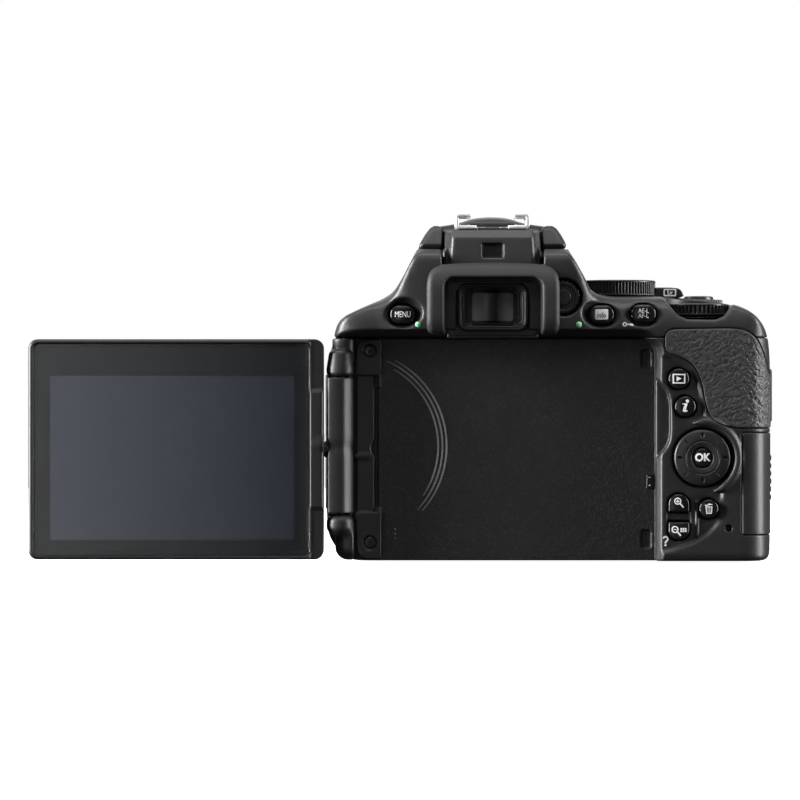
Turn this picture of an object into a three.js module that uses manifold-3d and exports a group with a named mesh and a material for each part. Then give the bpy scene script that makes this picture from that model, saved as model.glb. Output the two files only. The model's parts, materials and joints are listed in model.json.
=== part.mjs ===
// A compact digital single-lens reflex camera body with a vari-angle screen, its screen swung out.
// Frame: +Z up, the lens looks along -Y, the screen side faces +Y and the hand grip is at -X.
// The origin is on the base plane, under the lens axis and in the plane of the image sensor.

import * as THREE from 'three';
import { mergeVertices } from 'three/addons/utils/BufferGeometryUtils.js';
import Module from 'manifold-3d';

const wasm = await Module();
wasm.setup();

// ---------------------------------------------------------------- driving dimensions, millimetres
const gap = 0.3; // clearance between neighbouring pieces
const wall = 2; // moulded wall of the covers
const rearFace = 16;
const baseSplit = -2; // front and rear covers meet in this plane of Y
const splitHeight = 62.15; // top cover meets the lower covers at this height
const padSplitHeight = 66; // the same seam behind the thumb rest
const lensAxisHeight = 39;
const flange = -46.5;

const recess = { left: 50, right: -45.4, floor: 8.2, back: 5.2 };
const swing = { x: 42.4, y: 12.4, radius: 3.8, low: 13.1, high: 51 };
const tilt = { z: 31, radius: 2.2, from: 44.2, to: 50 };
const screen = { near: 46.9, far: 128.9, low: 0.4, high: 61.6, back: 8.6, front: 16.2 };
const glass = { near: 50.8, far: 127.3, low: 1.5, high: 60.3, thickness: 1.1 };
const active = { near: 55.1, far: 123.1, low: 5.8, high: 51.4 };

const modeDial = { x: -35.8, y: -8, radius: 10, low: 74.5, high: 78.1 };
const commandDial = { x: -57.7, y: 2.5, radius: 8.5, low: 68.3, high: 71.6 };
const release = { x: -59.8, y: -31, radius: 4.3, collar: 7.5 };
const selector = { x: -58.1, z: 28.7, radius: 7.8, hole: 2.95 };
const flashPivot = { y: 5, z: 90, radius: 3.2 };
const mirror = { y: -10.5, z: 49.5, width: 27, length: 27, thickness: 1 };

// Counter-clockwise outline seen from above: sides, rear face, hand grip and front face.
const bodyPlan = [
  [46.3, -24], [46.3, 8.2], [43, 13], [38, rearFace], [-62, rearFace], [-69.5, 14.4], [-75, 9.5],
  [-77.2, 1.5], [-77.2, -14], [-76, -30], [-73, -39], [-66.5, -44.3], [-58, -45], [-49.5, -40.5],
  [-46.5, -31], [-42, -26.5], [-36, -25.5], [38, -27],
];

// Counter-clockwise outline in X and Z: the silhouette with the viewfinder hump.
const bodyOutline = [
  [37.3, 0], [41.6, 1.7], [43.7, 5.5], [46.1, 9.3], [46.3, 13.1], [46.3, 51], [45.4, 56.1],
  [43.7, 59.5], [42.7, 64.7], [41.1, 66.8], [37.3, 68.9], [30.4, 72.1], [27.5, 74], [25.1, 77.9],
  [21.4, 84.9], [19.3, 89.1], [17.1, 91.8], [15, 93.1], [6, 95], [0, 95.3], [-6, 95],
  [-15.8, 93.1], [-17.9, 91.5], [-19.5, 89.1], [-21.1, 85.4], [-23.3, 81.7], [-25.6, 77.9],
  [-26.6, 73.2], [-48.5, 73.2], [-60, 71.8], [-66.2, 70.4], [-69.6, 68.5], [-72.9, 66.1],
  [-74.9, 63.3], [-76.4, 60.4], [-77.2, 54], [-77.2, 8], [-76.1, 1.7], [-74.4, 0],
];

// Side profiles in Y and Z: the body with its shoulders, and the hump over the mirror box.
const shoulderProfile = [
  [-46, -1], [16.5, -1], [16.5, 61], [15.2, 66], [14.6, 71.4], [13, 73.4], [-18, 73.4], [-34, 71],
  [-41, 66.5], [-46, 57],
];
const humpProfile = [
  [-38, 40], [16, 40], [16, 78], [14.6, 84], [12.2, 89.4], [11.6, 91.2], [-12, 91.2], [-12, 93.6],
  [-20, 95.3], [-30, 94.6], [-39, 90.5], [-43.5, 84], [-42, 76], [-38, 70],
];

// Leather-grained thumb rest on the rear face, counter-clockwise in X and Z.
const thumbOutline = [
  [-47.7, 57.8], [-47.7, 64.2], [-71, 64.2], [-76, 61], [-80, 56], [-80, 37.1], [-66.2, 37.1],
  [-61.1, 39.1], [-59.2, 42], [-57.8, 50.6], [-55.4, 55.1], [-51.3, 57.1],
];

// ---------------------------------------------------------------- materials
const finish = (color, roughness, metalness = 0) =>
  new THREE.MeshStandardMaterial({ color, roughness, metalness });

const casing = () => finish(0x2b2c2e, 0.62);
const darkCasing = () => finish(0x1b1c1e, 0.7);
const rubber = () => finish(0x1f2022, 0.85);
const glossBlack = () => finish(0x111113, 0.25);
const chrome = () => finish(0xc8cacc, 0.2, 1);
const steel = () => finish(0x9a9da1, 0.35, 1);
const clear = () => finish(0x39414d, 0.08);
const board = () => finish(0x1d5a3a, 0.5);

// ---------------------------------------------------------------- solids from three.js geometry
function solid(geometry) {
  const bare = geometry.clone();
  bare.deleteAttribute('normal');
  bare.deleteAttribute('uv');
  const merged = mergeVertices(bare, 1e-4);
  return new wasm.Manifold(new wasm.Mesh({
    numProp: 3,
    vertProperties: new Float32Array(merged.attributes.position.array),
    triVerts: new Uint32Array(merged.index.array),
  }));
}

function mesh(name, shape, material) {
  const { vertProperties, triVerts } = shape.getMesh();
  const geometry = new THREE.BufferGeometry();
  geometry.setAttribute('position', new THREE.BufferAttribute(vertProperties, 3));
  geometry.setIndex(new THREE.BufferAttribute(triVerts, 1));
  geometry.computeVertexNormals();
  const piece = new THREE.Mesh(geometry, material);
  piece.name = name;
  return piece;
}

const join = (first, ...rest) => rest.reduce((whole, piece) => whole.add(piece), first);
const cut = (first, ...rest) => rest.reduce((whole, piece) => whole.subtract(piece), first);
const overlap = (first, ...rest) => rest.reduce((whole, piece) => whole.intersect(piece), first);

const shapeOf = (points) => new THREE.Shape(points.map(([a, b]) => new THREE.Vector2(a, b)));

function extrude(points, depth) {
  return new THREE.ExtrudeGeometry(shapeOf(points), { depth, bevelEnabled: false, steps: 1 });
}

// Prisms on an outline given in the two other axes.
function alongZ(points, low, high) {
  return solid(extrude(points, high - low).translate(0, 0, low));
}

function alongY(points, low, high) {
  return solid(extrude(points, high - low).rotateX(Math.PI / 2).translate(0, high, 0));
}

function alongX(points, low, high) {
  const turn = new THREE.Matrix4().makeBasis(
    new THREE.Vector3(0, 1, 0), new THREE.Vector3(0, 0, 1), new THREE.Vector3(1, 0, 0));
  return solid(extrude(points, high - low).applyMatrix4(turn).translate(low, 0, 0));
}

function box(x0, x1, y0, y1, z0, z1) {
  const geometry = new THREE.BoxGeometry(x1 - x0, y1 - y0, z1 - z0);
  return solid(geometry.translate((x0 + x1) / 2, (y0 + y1) / 2, (z0 + z1) / 2));
}

function disc(a, b, radius, sides = 28) {
  const points = [];
  for (let i = 0; i < sides; i += 1) {
    const angle = (2 * Math.PI * i) / sides;
    points.push([a + radius * Math.cos(angle), b + radius * Math.sin(angle)]);
  }
  return points;
}

// Rectangle with rounded corners about a centre.
function rounded(a, b, width, height, radius, steps = 4) {
  const points = [];
  const corners = [[1, -1, -0.5], [1, 1, 0], [-1, 1, 0.5], [-1, -1, 1]];
  for (const [sideA, sideB, start] of corners) {
    for (let i = 0; i <= steps; i += 1) {
      const angle = Math.PI * (start + (0.5 * i) / steps);
      points.push([
        a + sideA * (width / 2 - radius) + radius * Math.cos(angle),
        b + sideB * (height / 2 - radius) + radius * Math.sin(angle),
      ]);
    }
  }
  return points;
}

// Moves every edge of a counter-clockwise outline inwards.
function inset(points, distance) {
  const normal = ([ax, ay], [bx, by]) => {
    const length = Math.hypot(bx - ax, by - ay);
    return [(ay - by) / length, (bx - ax) / length];
  };
  return points.map((point, i) => {
    const before = normal(points[(i + points.length - 1) % points.length], point);
    const after = normal(point, points[(i + 1) % points.length]);
    const scale = distance / (1 + before[0] * after[0] + before[1] * after[1]);
    return [point[0] + (before[0] + after[0]) * scale, point[1] + (before[1] + after[1]) * scale];
  });
}

// ---------------------------------------------------------------- body covers
const lensDisc = (radius, low, high, sides) =>
  alongY(disc(0, lensAxisHeight, radius, sides), low, high);

// The whole body shrunk by a distance: the outside at 0, the inside of the walls at `wall`.
function bodyForm(distance) {
  const outline = alongY(inset(bodyOutline, distance), -60, 30);
  const trunk = overlap(
    alongZ(inset(bodyPlan, distance), -5, 100), outline,
    alongX(inset(shoulderProfile, distance), -90, 60));
  const hump = overlap(
    outline, alongX(inset(humpProfile, distance), -27.2 + distance, 28 - distance));
  return join(trunk, hump);
}

const outside = bodyForm(0);
const humpRoof = 81.7;
const bottomOpening = (distance) => overlap(
  alongZ(inset(bodyPlan, wall + distance), -1, 8),
  box(-73.5 + distance, 36.5 - distance, -60, recess.back - distance, -2, 9));
const inside = join(
  cut(
    overlap(bodyForm(wall), box(-90, 60, -60, 30, -5, humpRoof)),
    box(recess.right - wall, 60, recess.back, 30, -5, splitHeight + wall)),
  bottomOpening(0));

const bossRadius = 34;
const humpFront = -38; // front wall of the hump, behind the upper half of the lens boss
const throatRadius = 24;
const ringRadius = 31.5;

function frontCover() {
  const shell = overlap(
    cut(outside, inside), box(-90, 60, -60, baseSplit - gap / 2, -1, splitHeight - gap / 2));
  return cut(shell, lensDisc(bossRadius + gap, -60, -20, 56));
}

// The round collar that carries the lens mount, with a step for the mount ring.
function mountCollar() {
  return cut(
    lensDisc(bossRadius, -45.3, -24, 56),
    lensDisc(bossRadius - 2.5, -42, -20, 48),
    box(-40, 40, humpFront - gap, 0, splitHeight - gap / 2, 90),
    lensDisc(ringRadius + gap, -50, -44, 48),
    lensDisc(throatRadius, -50, -20, 40));
}

function rearCover() {
  const shell = overlap(
    cut(outside, inside),
    join(
      box(-90, 60, baseSplit + gap / 2, 30, -1, splitHeight - gap / 2),
      box(-90, recess.right - 0.2, baseSplit + gap / 2, 30, -1, padSplitHeight - gap / 2)));
  return cut(
    shell,
    box(recess.right, recess.left, recess.floor, 30, -1, 70),
    box(30.7, 60, 6.6, 30, -1, 70));
}

function topCover() {
  const lower = join(
    box(-90, 60, -60, 30, -1, splitHeight + gap / 2),
    box(-90, recess.right + 0.1, baseSplit - gap / 2, 30, -1, padSplitHeight + gap / 2));
  return cut(
    outside, inside, lower,
    lensDisc(bossRadius + gap, -60, humpFront, 56));
}

// ---------------------------------------------------------------- openings for controls
const buttons = [
  { name: 'menu_button', x: 25, z: 68.4, width: 6.8, height: 5, low: 12.4, high: 15.9, top: true },
  { name: 'info_button', x: -30.2, z: 68.4, width: 6.9, height: 4.9, low: 12.4, high: 15.9, top: true },
  { name: 'ae_lock_button', x: -41.8, z: 68.6, width: 6.7, height: 5, low: 12.4, high: 15.9, top: true },
  { name: 'playback_button', x: -51.6, z: 50.6, width: 5.6, height: 5.6, low: 13.2, high: 16.8 },
  { name: 'quick_menu_button', x: -53.4, z: 42.9, width: 5.6, height: 5.6, low: 13.2, high: 16.8 },
  { name: 'zoom_in_button', x: -51.6, z: 16.1, width: 5.6, height: 5, low: 13.2, high: 16.8 },
  { name: 'zoom_out_button', x: -51.6, z: 8.4, width: 5.6, height: 5, low: 13.2, high: 16.8 },
  { name: 'delete_button', x: -59.9, z: 14.5, width: 5.2, height: 5.2, low: 13.2, high: 16.8 },
];

const buttonShape = ({ x, z, width, height }, extra, low, high) =>
  alongY(rounded(x, z, width + extra, height + extra, (Math.min(width, height) + extra) / 2.02, 5),
    low, high);
const buttonWell = (button) => buttonShape(button, 2 * gap, 10, 20);

const frontButtons = [
  { name: 'lens_release_button', x: 38.5, z: 31, radius: 3.6, low: -29.4 },
  { name: 'function_button', x: 38.5, z: 47, radius: 2.5, low: -28.2 },
  { name: 'flash_button', x: 38.5, z: 56, radius: 2.5, low: -28.2 },
];
const topButtons = [
  { name: 'movie_button', x: -50.5, y: -19, radius: 2.5, low: 70.2, high: 74 },
  { name: 'exposure_button', x: -66, y: -19, radius: 2.5, low: 67.4, high: 71.2 },
];

// ---------------------------------------------------------------- rubber skins, doors and covers
const skin = (depth) => cut(outside, bodyForm(depth));
const gripRegion = (extra) => cut(
  box(-90, -44.5 + extra, -60, -16 + extra, 6 - extra, 59 + extra),
  lensDisc(bossRadius + 2.5 - extra, -60, 0));
const padRegion = (extra) => overlap(
  alongY(inset(thumbOutline, -extra), baseSplit + 0.5 - 2 * extra, 30),
  box(-90, -40, -60, 30, 0, 65.5));
const cardRegion = (extra) =>
  box(-90, -69.2 + extra, baseSplit + 0.5 - 2 * extra, 30, 7.3 - extra, 35.6 + extra);
const hdmiRegion = (extra) => box(-90, -75.6, -14 - extra, -3.2 + extra, 38.4 - extra, 53.5 + extra);
const plugRegion = (extra) => box(44.2, 60, -21 - extra, -5 + extra, 14 - extra, 52 + extra);

function eyecup() {
  const crown = [
    [-18.4, 62.4], [18.4, 62.4], [18.4, 77.6], [16.6, 80.5], [12.6, 81.9], [6, 82.8], [-6, 82.8],
    [-12.6, 81.9], [-16.6, 80.5], [-18.4, 77.6],
  ];
  return cut(
    alongY(crown, 16.3, 23.5),
    box(-13.2, 13.2, 18.2, 30, 60, 78.2),
    box(-10, 10, 10, 30, 60, 77.2));
}

function eyepieceFrame() {
  return cut(
    alongY(rounded(0, 70.4, 19.4, 13, 2), 9.5, 18.6),
    alongY(rounded(0, 70.65, 12.5, 8.7, 1.6), 5, 14.6),
    alongY(rounded(0, 70.5, 15.6, 10.4, 1.8), 14.6, 30));
}

// ---------------------------------------------------------------- screen hinge
const swingRound = (radius, low, high, sides = 24) =>
  alongZ(disc(swing.x, swing.y, radius, sides), low, high);

function hingeBase() {
  const foot = (low, high) => join(
    swingRound(swing.radius, low, high),
    box(38.6, 46.2, 6.9, swing.y, low, high));
  const upper = foot(swing.high + gap, 61.7);
  const lower = foot(0, swing.low - gap);
  const plate = box(31, 39, 6.9, 8.4, 0.4, 61.7);
  const edge = box(38.6, 46.2, 6.9, 8.2, 0.4, 61.7);
  return cut(
    overlap(join(upper, lower, plate, edge), alongY(bodyOutline, 0, 30)),
    swingRound(1.2, 3.7, 59.3, 12));
}

function screenBracket() {
  const barrel = swingRound(swing.radius - 0.05, swing.low, swing.high);
  return cut(
    barrel,
    swingRound(1.2, 0, 70, 12),
    alongX(disc(swing.y, tilt.z, tilt.radius + gap, 16), tilt.from - gap, 60));
}

function screenShell() {
  const width = screen.far - screen.near;
  const height = screen.high - screen.low;
  const middleX = (screen.far + screen.near) / 2;
  const middleZ = (screen.high + screen.low) / 2;
  const glassX = (glass.near + glass.far) / 2;
  const glassZ = (glass.low + glass.high) / 2;
  const opening = rounded(
    glassX, glassZ, glass.far - glass.near + 2 * gap, glass.high - glass.low + 2 * gap, 1.6);
  return cut(
    alongY(rounded(middleX, middleZ, width, height, 3), screen.back, screen.front),
    alongY(opening, screen.back + 1.7, 30),
    alongX(disc(swing.y, tilt.z, tilt.radius + gap, 16), 40, glass.near + 0.5));
}

// ---------------------------------------------------------------- flash and accessory shoe
function flashForm(extra) {
  const head = overlap(
    outside, box(-30, 30, -60, -12.3 + extra, 83.8 - extra, 100));
  const arm = (side) => {
    const inner = side * (13.8 - extra);
    const outer = side * 30;
    const x0 = Math.min(inner, outer);
    const x1 = Math.max(inner, outer);
    const profile = [[-14, 86.8 - extra], [flashPivot.y, 86.8 - extra]];
    for (let i = 1; i <= 8; i += 1) {
      const angle = -Math.PI / 2 + (Math.PI * i) / 8;
      profile.push([
        flashPivot.y + (flashPivot.radius + extra) * Math.cos(angle),
        flashPivot.z + (flashPivot.radius + extra) * Math.sin(angle),
      ]);
    }
    profile.push([-14, flashPivot.z + flashPivot.radius + extra]);
    return alongX(profile, x0, x1);
  };
  const roof = join(
    overlap(alongY(bodyOutline, -60, 30), arm(1)), overlap(alongY(bodyOutline, -60, 30), arm(-1)));
  return join(head, roof);
}

function shoeRails() {
  const half = 10.25;
  const section = [
    [-half, 92.4], [half, 92.4], [half, 96.6], [6, 96.6], [6, 95.6], [half - 1, 95.6],
    [half - 1, 93.4], [-half + 1, 93.4], [-half + 1, 95.6], [-6, 95.6], [-6, 96.6], [-half, 96.6],
  ];
  return alongY(section, -10, 8.5);
}

// ---------------------------------------------------------------- dials and selector
const knob = (dial, extra, low, high, sides = 36) =>
  alongZ(disc(dial.x, dial.y, dial.radius + extra, sides), low, high);

function liveViewLever() {
  const plate = cut(
    alongZ(disc(modeDial.x, modeDial.y, 9.4, 28), 73.5, 74.2),
    alongZ(disc(modeDial.x, modeDial.y, 4, 20), 73, 75));
  const arm = box(-52, -44, -10.5, -5.5, 73.5, 74.2);
  const tab = box(-53.3, -46.6, -11.2, -4.8, 73.5, 76.2);
  return join(plate, arm, tab);
}

const selectorDisc = (radius, low, high, sides = 32) =>
  alongY(disc(selector.x, selector.z, radius, sides), low, high);

// ---------------------------------------------------------------- inside the body
function mirrorBox() {
  return cut(
    box(-19, 19, -41.6, -8, 20.5, 52.4),
    box(-16.5, 16.5, -50, -9.8, 23, 60),
    box(-12.5, 12.5, -12, 0, 30.5, 47.5));
}

function reflexMirror() {
  const { y, z, width, length, thickness } = mirror;
  const plate = new THREE.BoxGeometry(width, length, thickness).translate(0, -length / 2, 0);
  return solid(plate.rotateX(Math.PI / 4).translate(0, y, z));
}

function shutterUnit() {
  return cut(
    box(-21, 21, -7.6, -5.2, 19, 58),
    box(-12.3, 12.3, -9, -5.8, 30.8, 47.2));
}

function imageSensor() {
  return join(
    box(-15, 15, 0, 1.7, 29, 49),
    box(-21, 21, 1.6, 2.9, 22, 56));
}

function pentamirror() {
  const side = [[-34, 54.9], [-12, 54.9], [-9.5, 62], [-13, 77], [-24, 80.5], [-35, 68]];
  const front = [[-15, 50], [15, 50], [15, 70], [4, 81], [-4, 81], [-15, 70]];
  return overlap(alongX(side, -16, 16), alongY(front, -50, 10));
}

function bottomPlate() {
  return cut(
    overlap(bottomOpening(gap), box(-90, 60, -60, 30, 0, 2)),
    box(-69.3, -51.2, -36, 2.3, -1, 9),
    alongZ(disc(0, -18, 5.3, 20), -1, 9));
}

function lensMountRing() {
  const ring = cut(
    lensDisc(ringRadius, flange, -44.3, 48),
    lensDisc(21.9, -50, -40, 40));
  return ring;
}

// ---------------------------------------------------------------- assembly
const camera = new THREE.Group();
const put = (name, shape, material) => camera.add(mesh(name, shape, material));

const frontWells = frontButtons.map(({ x, z, radius }) =>
  alongY(disc(x, z, radius + gap, 20), -35, -20));
put('front_cover', cut(
  frontCover(), ...frontWells,
  overlap(gripRegion(gap), skin(1.2 + gap)),
  hdmiRegion(gap), plugRegion(gap)), casing());

const rearWells = buttons.filter(({ top }) => !top).map(buttonWell);
put('mount_collar', mountCollar(), casing());

put('rear_cover', cut(
  rearCover(), ...rearWells,
  overlap(padRegion(gap), skin(1 + gap)),
  cardRegion(gap), selectorDisc(selector.radius + 0.6, 10, 20)), darkCasing());

const topWells = buttons.filter(({ top }) => top).map(buttonWell);
const plateWells = topButtons.map(({ x, y, radius }) =>
  alongZ(disc(x, y, radius + gap, 20), 60, 80));
put('top_cover', cut(
  topCover(), ...topWells, ...plateWells,
  flashForm(gap),
  box(-10, 10, 5, 30, 63.6, 77.2),
  alongY(disc(-19.5, 73.2, 5.1, 24), 11, 20),
  knob(modeDial, 0.35, 73.2, 90), alongZ(disc(modeDial.x, modeDial.y, 3.9, 20), 60, 80),
  knob(commandDial, 0.4, 68, 90),
  box(-66.6, -48.8, commandDial.y, 30, 68, 90),
  alongZ(disc(release.x, release.y, release.collar + 0.4, 28), 70.9, 90),
  alongZ(disc(release.x, release.y, release.radius + gap, 24), 60, 90)), casing());
put('bottom_plate', bottomPlate(), darkCasing());
put('grip_rubber', overlap(gripRegion(0), skin(1.2)), rubber());
put('thumb_rest', overlap(padRegion(0), skin(1)), rubber());

put('hinge_base', hingeBase(), darkCasing());
put('swing_pin', swingRound(0.9, 4, 59, 12), steel());
put('screen_bracket', screenBracket(), casing());
put('tilt_shaft', alongX(disc(swing.y, tilt.z, tilt.radius, 16), tilt.from, tilt.to), steel());
put('screen_shell', screenShell(), casing());
put('screen_module', box(52, 126, 10.6, 13.4, 3, 59), finish(0x30343b, 0.4, 0.4));
put('screen_mask', cut(
  box(51.2, 126.9, 13.7, 14.7, 1.9, 59.9),
  box(active.near, active.far, 13, 15, active.low, active.high)), glossBlack());
const glassMiddle = [(glass.near + glass.far) / 2, (glass.low + glass.high) / 2];
put('screen_glass', alongY(
  rounded(...glassMiddle, glass.far - glass.near, glass.high - glass.low, 1.4),
  screen.front - 0.1 - glass.thickness, screen.front - 0.1), clear());

put('eyecup', eyecup(), rubber());
put('eyepiece_frame', eyepieceFrame(), darkCasing());
put('eyepiece_lens', alongY(rounded(0, 70.65, 11.9, 8.1, 1.3), 10.5, 13.5), clear());
put('diopter_dial', alongY(disc(-19.5, 73.2, 4.8, 28), 12.4, 16), glossBlack());

put('shoe_plate', box(-11.1, 11.1, -10.5, 9, 91.5, 92.1), darkCasing());
put('shoe_rails', shoeRails(), chrome());
put('flash_head', cut(flashForm(0), box(-13.3, 13.3, -50, -38, 84.9, 91.3)), casing());
put('flash_window', overlap(flashForm(0), box(-13, 13, -50, -38.3, 85.2, 91)), clear());

put('mode_dial', join(
  knob(modeDial, 0, modeDial.low, modeDial.high),
  alongZ(disc(modeDial.x, modeDial.y, 3.6, 20), 71.6, 75)), glossBlack());
put('live_view_lever', liveViewLever(), glossBlack());
put('command_dial', knob(commandDial, 0, commandDial.low, commandDial.high), glossBlack());
put('power_switch', cut(
  join(
    alongZ(disc(release.x, release.y, release.collar, 28), 71.2, 72.8),
    box(release.x - 2, release.x + 2, release.y - 9.6, release.y - 6, 71.4, 72.8)),
  alongZ(disc(release.x, release.y, release.radius + gap, 24), 60, 90)), glossBlack());
put('shutter_button', alongZ(disc(release.x, release.y, release.radius, 24), 69.8, 73.6), chrome());

for (const button of buttons) {
  put(button.name, buttonShape(button, 0, button.low, button.high), glossBlack());
}
for (const { name, x, z, radius, low } of frontButtons) {
  put(name, alongY(disc(x, z, radius, 20), low, -23), glossBlack());
}
for (const { name, x, y, radius, low, high } of topButtons) {
  put(name, alongZ(disc(x, y, radius, 20), low, high), glossBlack());
}
put('multi_selector', cut(selectorDisc(selector.radius, 14.2, 17.2), selectorDisc(selector.hole, 10, 20)),
  glossBlack());
put('selector_carrier', cut(selectorDisc(5, 12, 13.9), selectorDisc(selector.hole, 10, 20)),
  finish(0xb9b4a6, 0.6));
put('ok_button', selectorDisc(selector.hole - gap, 12.2, 17.1, 24), glossBlack());

put('card_door', overlap(cardRegion(0), skin(1.6)), casing());
put('card_door_leaf', box(-73.2, -72.2, -1.4, 0.6, 9, 34), steel());
put('memory_card', box(-73, -42, 2.6, 4.7, 10, 34), finish(0x23406e, 0.5));
put('hdmi_cover', box(-77.6, -75.8, -14, -3.2, 38.4, 53.5), rubber());
put('connector_cover', box(44.4, 46.3, -21, -5, 14, 52), rubber());
put('battery_door', box(-69, -51.5, -35.7, 2, 0.2, 1.8), darkCasing());
put('battery', box(-67, -53, -35, 1.8, 2.4, 55), finish(0x3a3b3f, 0.6));
put('tripod_socket', cut(
  alongZ(disc(0, -18, 5, 20), 0.1, 8), alongZ(disc(0, -18, 3.1, 16), -1, 6.5)), steel());

put('lens_mount_ring', lensMountRing(), steel());
put('mirror_box', mirrorBox(), darkCasing());
put('reflex_mirror', reflexMirror(), finish(0xd8dde2, 0.05, 1));
put('shutter_unit', shutterUnit(), darkCasing());
put('image_sensor', imageSensor(), finish(0x26405c, 0.2, 0.3));
put('focusing_screen', box(-14, 14, -36, -12, 53, 54.4), clear());
put('pentamirror', pentamirror(), finish(0x8f949b, 0.2, 0.6));
put('main_board', box(-40, 34, 3.4, 4.7, 7, 58), board());

export default camera;
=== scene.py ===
"""A compact digital single-lens reflex camera body, seen from behind with its screen swung out.

The covers, grips and other moulded pieces are signed distance fields in millimetres that are
turned into meshes; dials, buttons, the screen and the symbols are built as meshes directly.
"""

import json
import math
from functools import reduce

import bmesh
import bpy
import numpy as np
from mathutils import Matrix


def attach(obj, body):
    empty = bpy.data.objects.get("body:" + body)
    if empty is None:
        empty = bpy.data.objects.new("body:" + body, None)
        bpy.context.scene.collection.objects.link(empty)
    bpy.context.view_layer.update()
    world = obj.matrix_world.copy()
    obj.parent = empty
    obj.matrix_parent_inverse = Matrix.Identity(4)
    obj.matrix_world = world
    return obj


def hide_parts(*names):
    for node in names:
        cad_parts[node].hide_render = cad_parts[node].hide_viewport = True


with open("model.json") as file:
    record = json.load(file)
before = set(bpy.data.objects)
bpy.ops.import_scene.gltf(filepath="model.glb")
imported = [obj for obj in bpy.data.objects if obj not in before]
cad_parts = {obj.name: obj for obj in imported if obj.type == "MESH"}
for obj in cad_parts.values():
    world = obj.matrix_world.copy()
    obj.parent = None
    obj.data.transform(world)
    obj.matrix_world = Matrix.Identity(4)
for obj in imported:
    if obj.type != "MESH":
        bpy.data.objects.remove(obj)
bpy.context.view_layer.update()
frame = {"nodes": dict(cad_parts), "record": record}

import openvdb
from mathutils import Matrix, Vector
from mathutils.geometry import tessellate_polygon

MM = 0.001
ROOT = "camera_body"


# ------------------------------------------------------------------ signed distance fields
class Grid:
    """A block of sample points, in millimetres, with broadcastable x, y and z."""

    def __init__(self, low, high, step):
        self.step = step
        self.low = np.array(low, dtype=float) - 3 * step
        count = np.ceil((np.array(high) + 3 * step - self.low) / step).astype(int) + 1
        x, y, z = (self.low[i] + step * np.arange(count[i]) for i in range(3))
        self.x = x.astype(np.float32)[:, None, None]
        self.y = y.astype(np.float32)[None, :, None]
        self.z = z.astype(np.float32)[None, None, :]
        self.shape = tuple(count)


def outline_distance(u, v, points):
    """Signed distance in a plane to a closed outline, negative inside."""
    best = None
    inside = None
    for (ax, ay), (bx, by) in zip(points, points[1:] + points[:1]):
        ex, ey = bx - ax, by - ay
        wx, wy = u - ax, v - ay
        t = np.clip((wx * ex + wy * ey) / (ex * ex + ey * ey), 0, 1)
        square = (wx - ex * t) ** 2 + (wy - ey * t) ** 2
        best = square if best is None else np.minimum(best, square)
        if by != ay:
            crossing = ((ay > v) != (by > v)) & (u < ex * (v - ay) / ey + ax)
            inside = crossing if inside is None else inside ^ crossing
    distance = np.sqrt(best)
    return np.where(inside, -distance, distance).astype(np.float32)


def smooth_outline(points, rounds=2, longest=1.6):
    """Cuts the corners of a closed outline until it is a smooth curve."""
    for _ in range(rounds):
        result = []
        for (ax, ay), (bx, by) in zip(points, points[1:] + points[:1]):
            cut = min(0.25, longest / math.hypot(bx - ax, by - ay))
            result.append((ax + (bx - ax) * cut, ay + (by - ay) * cut))
            result.append((bx - (bx - ax) * cut, by - (by - ay) * cut))
        points = result
    return points


def meet(a, b, radius=0.0):
    """Intersection whose edge is rounded."""
    if radius <= 0:
        return np.maximum(a, b)
    corner = np.sqrt(np.maximum(a + radius, 0) ** 2 + np.maximum(b + radius, 0) ** 2)
    return np.minimum(np.maximum(a, b), -radius) + corner


def carve(a, b, radius=0.0):
    """Takes b out of a, with a rounded edge."""
    return meet(a, -b, radius)


def blend(a, b, radius):
    """Union with a fillet of about this radius."""
    if radius <= 0:
        return np.minimum(a, b)
    mix = np.maximum(radius - np.abs(a - b), 0) / radius
    return np.minimum(a, b) - mix * mix * radius / 4


def carve_soft(a, b, radius):
    """Takes b out of a, with soft edges on both sides."""
    return -blend(-a, b, radius)


def common(*fields):
    """Intersection of any number of fields, with sharp edges."""
    return reduce(np.maximum, fields)


def slab(value, low, high):
    return np.maximum(low - value, value - high)


def rounded_rectangle(u, v, cu, cv, width, height, radius):
    du = np.abs(u - cu) - (width / 2 - radius)
    dv = np.abs(v - cv) - (height / 2 - radius)
    outside = np.sqrt(np.maximum(du, 0) ** 2 + np.maximum(dv, 0) ** 2)
    return outside + np.minimum(np.maximum(du, dv), 0) - radius


def circle(u, v, cu, cv, radius):
    return np.sqrt((u - cu) ** 2 + (v - cv) ** 2) - radius


def facing(g, cx, cz, width, height, radius):
    """A rounded rectangle seen from the rear."""
    return rounded_rectangle(g.x, g.z, cx, cz, width, height, radius)


def bored(form, g, cx, cz, radius, floor, edge):
    """Sinks a round hole into the rear, down to its floor."""
    return carve(form, np.maximum(circle(g.x, g.z, cx, cz, radius), floor - g.y), edge)


def pocketed(form, g, shape, floor, edge):
    """Sinks a rounded rectangle into the rear, down to its floor."""
    return carve(form, np.maximum(facing(g, *shape), floor - g.y), edge)


def drilled(form, g, cx, cy, radius, floor, edge):
    """Sinks a round hole into the top, down to its floor."""
    return carve(form, np.maximum(circle(g.x, g.y, cx, cy, radius), floor - g.z), edge)


def capsule(g, start, end, radius):
    sx, sy, sz = start
    dx, dy, dz = (end[i] - start[i] for i in range(3))
    length = dx * dx + dy * dy + dz * dz
    t = np.clip(((g.x - sx) * dx + (g.y - sy) * dy + (g.z - sz) * dz) / length, 0, 1)
    return np.sqrt(
        (g.x - sx - dx * t) ** 2 + (g.y - sy - dy * t) ** 2 + (g.z - sz - dz * t) ** 2) - radius


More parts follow.
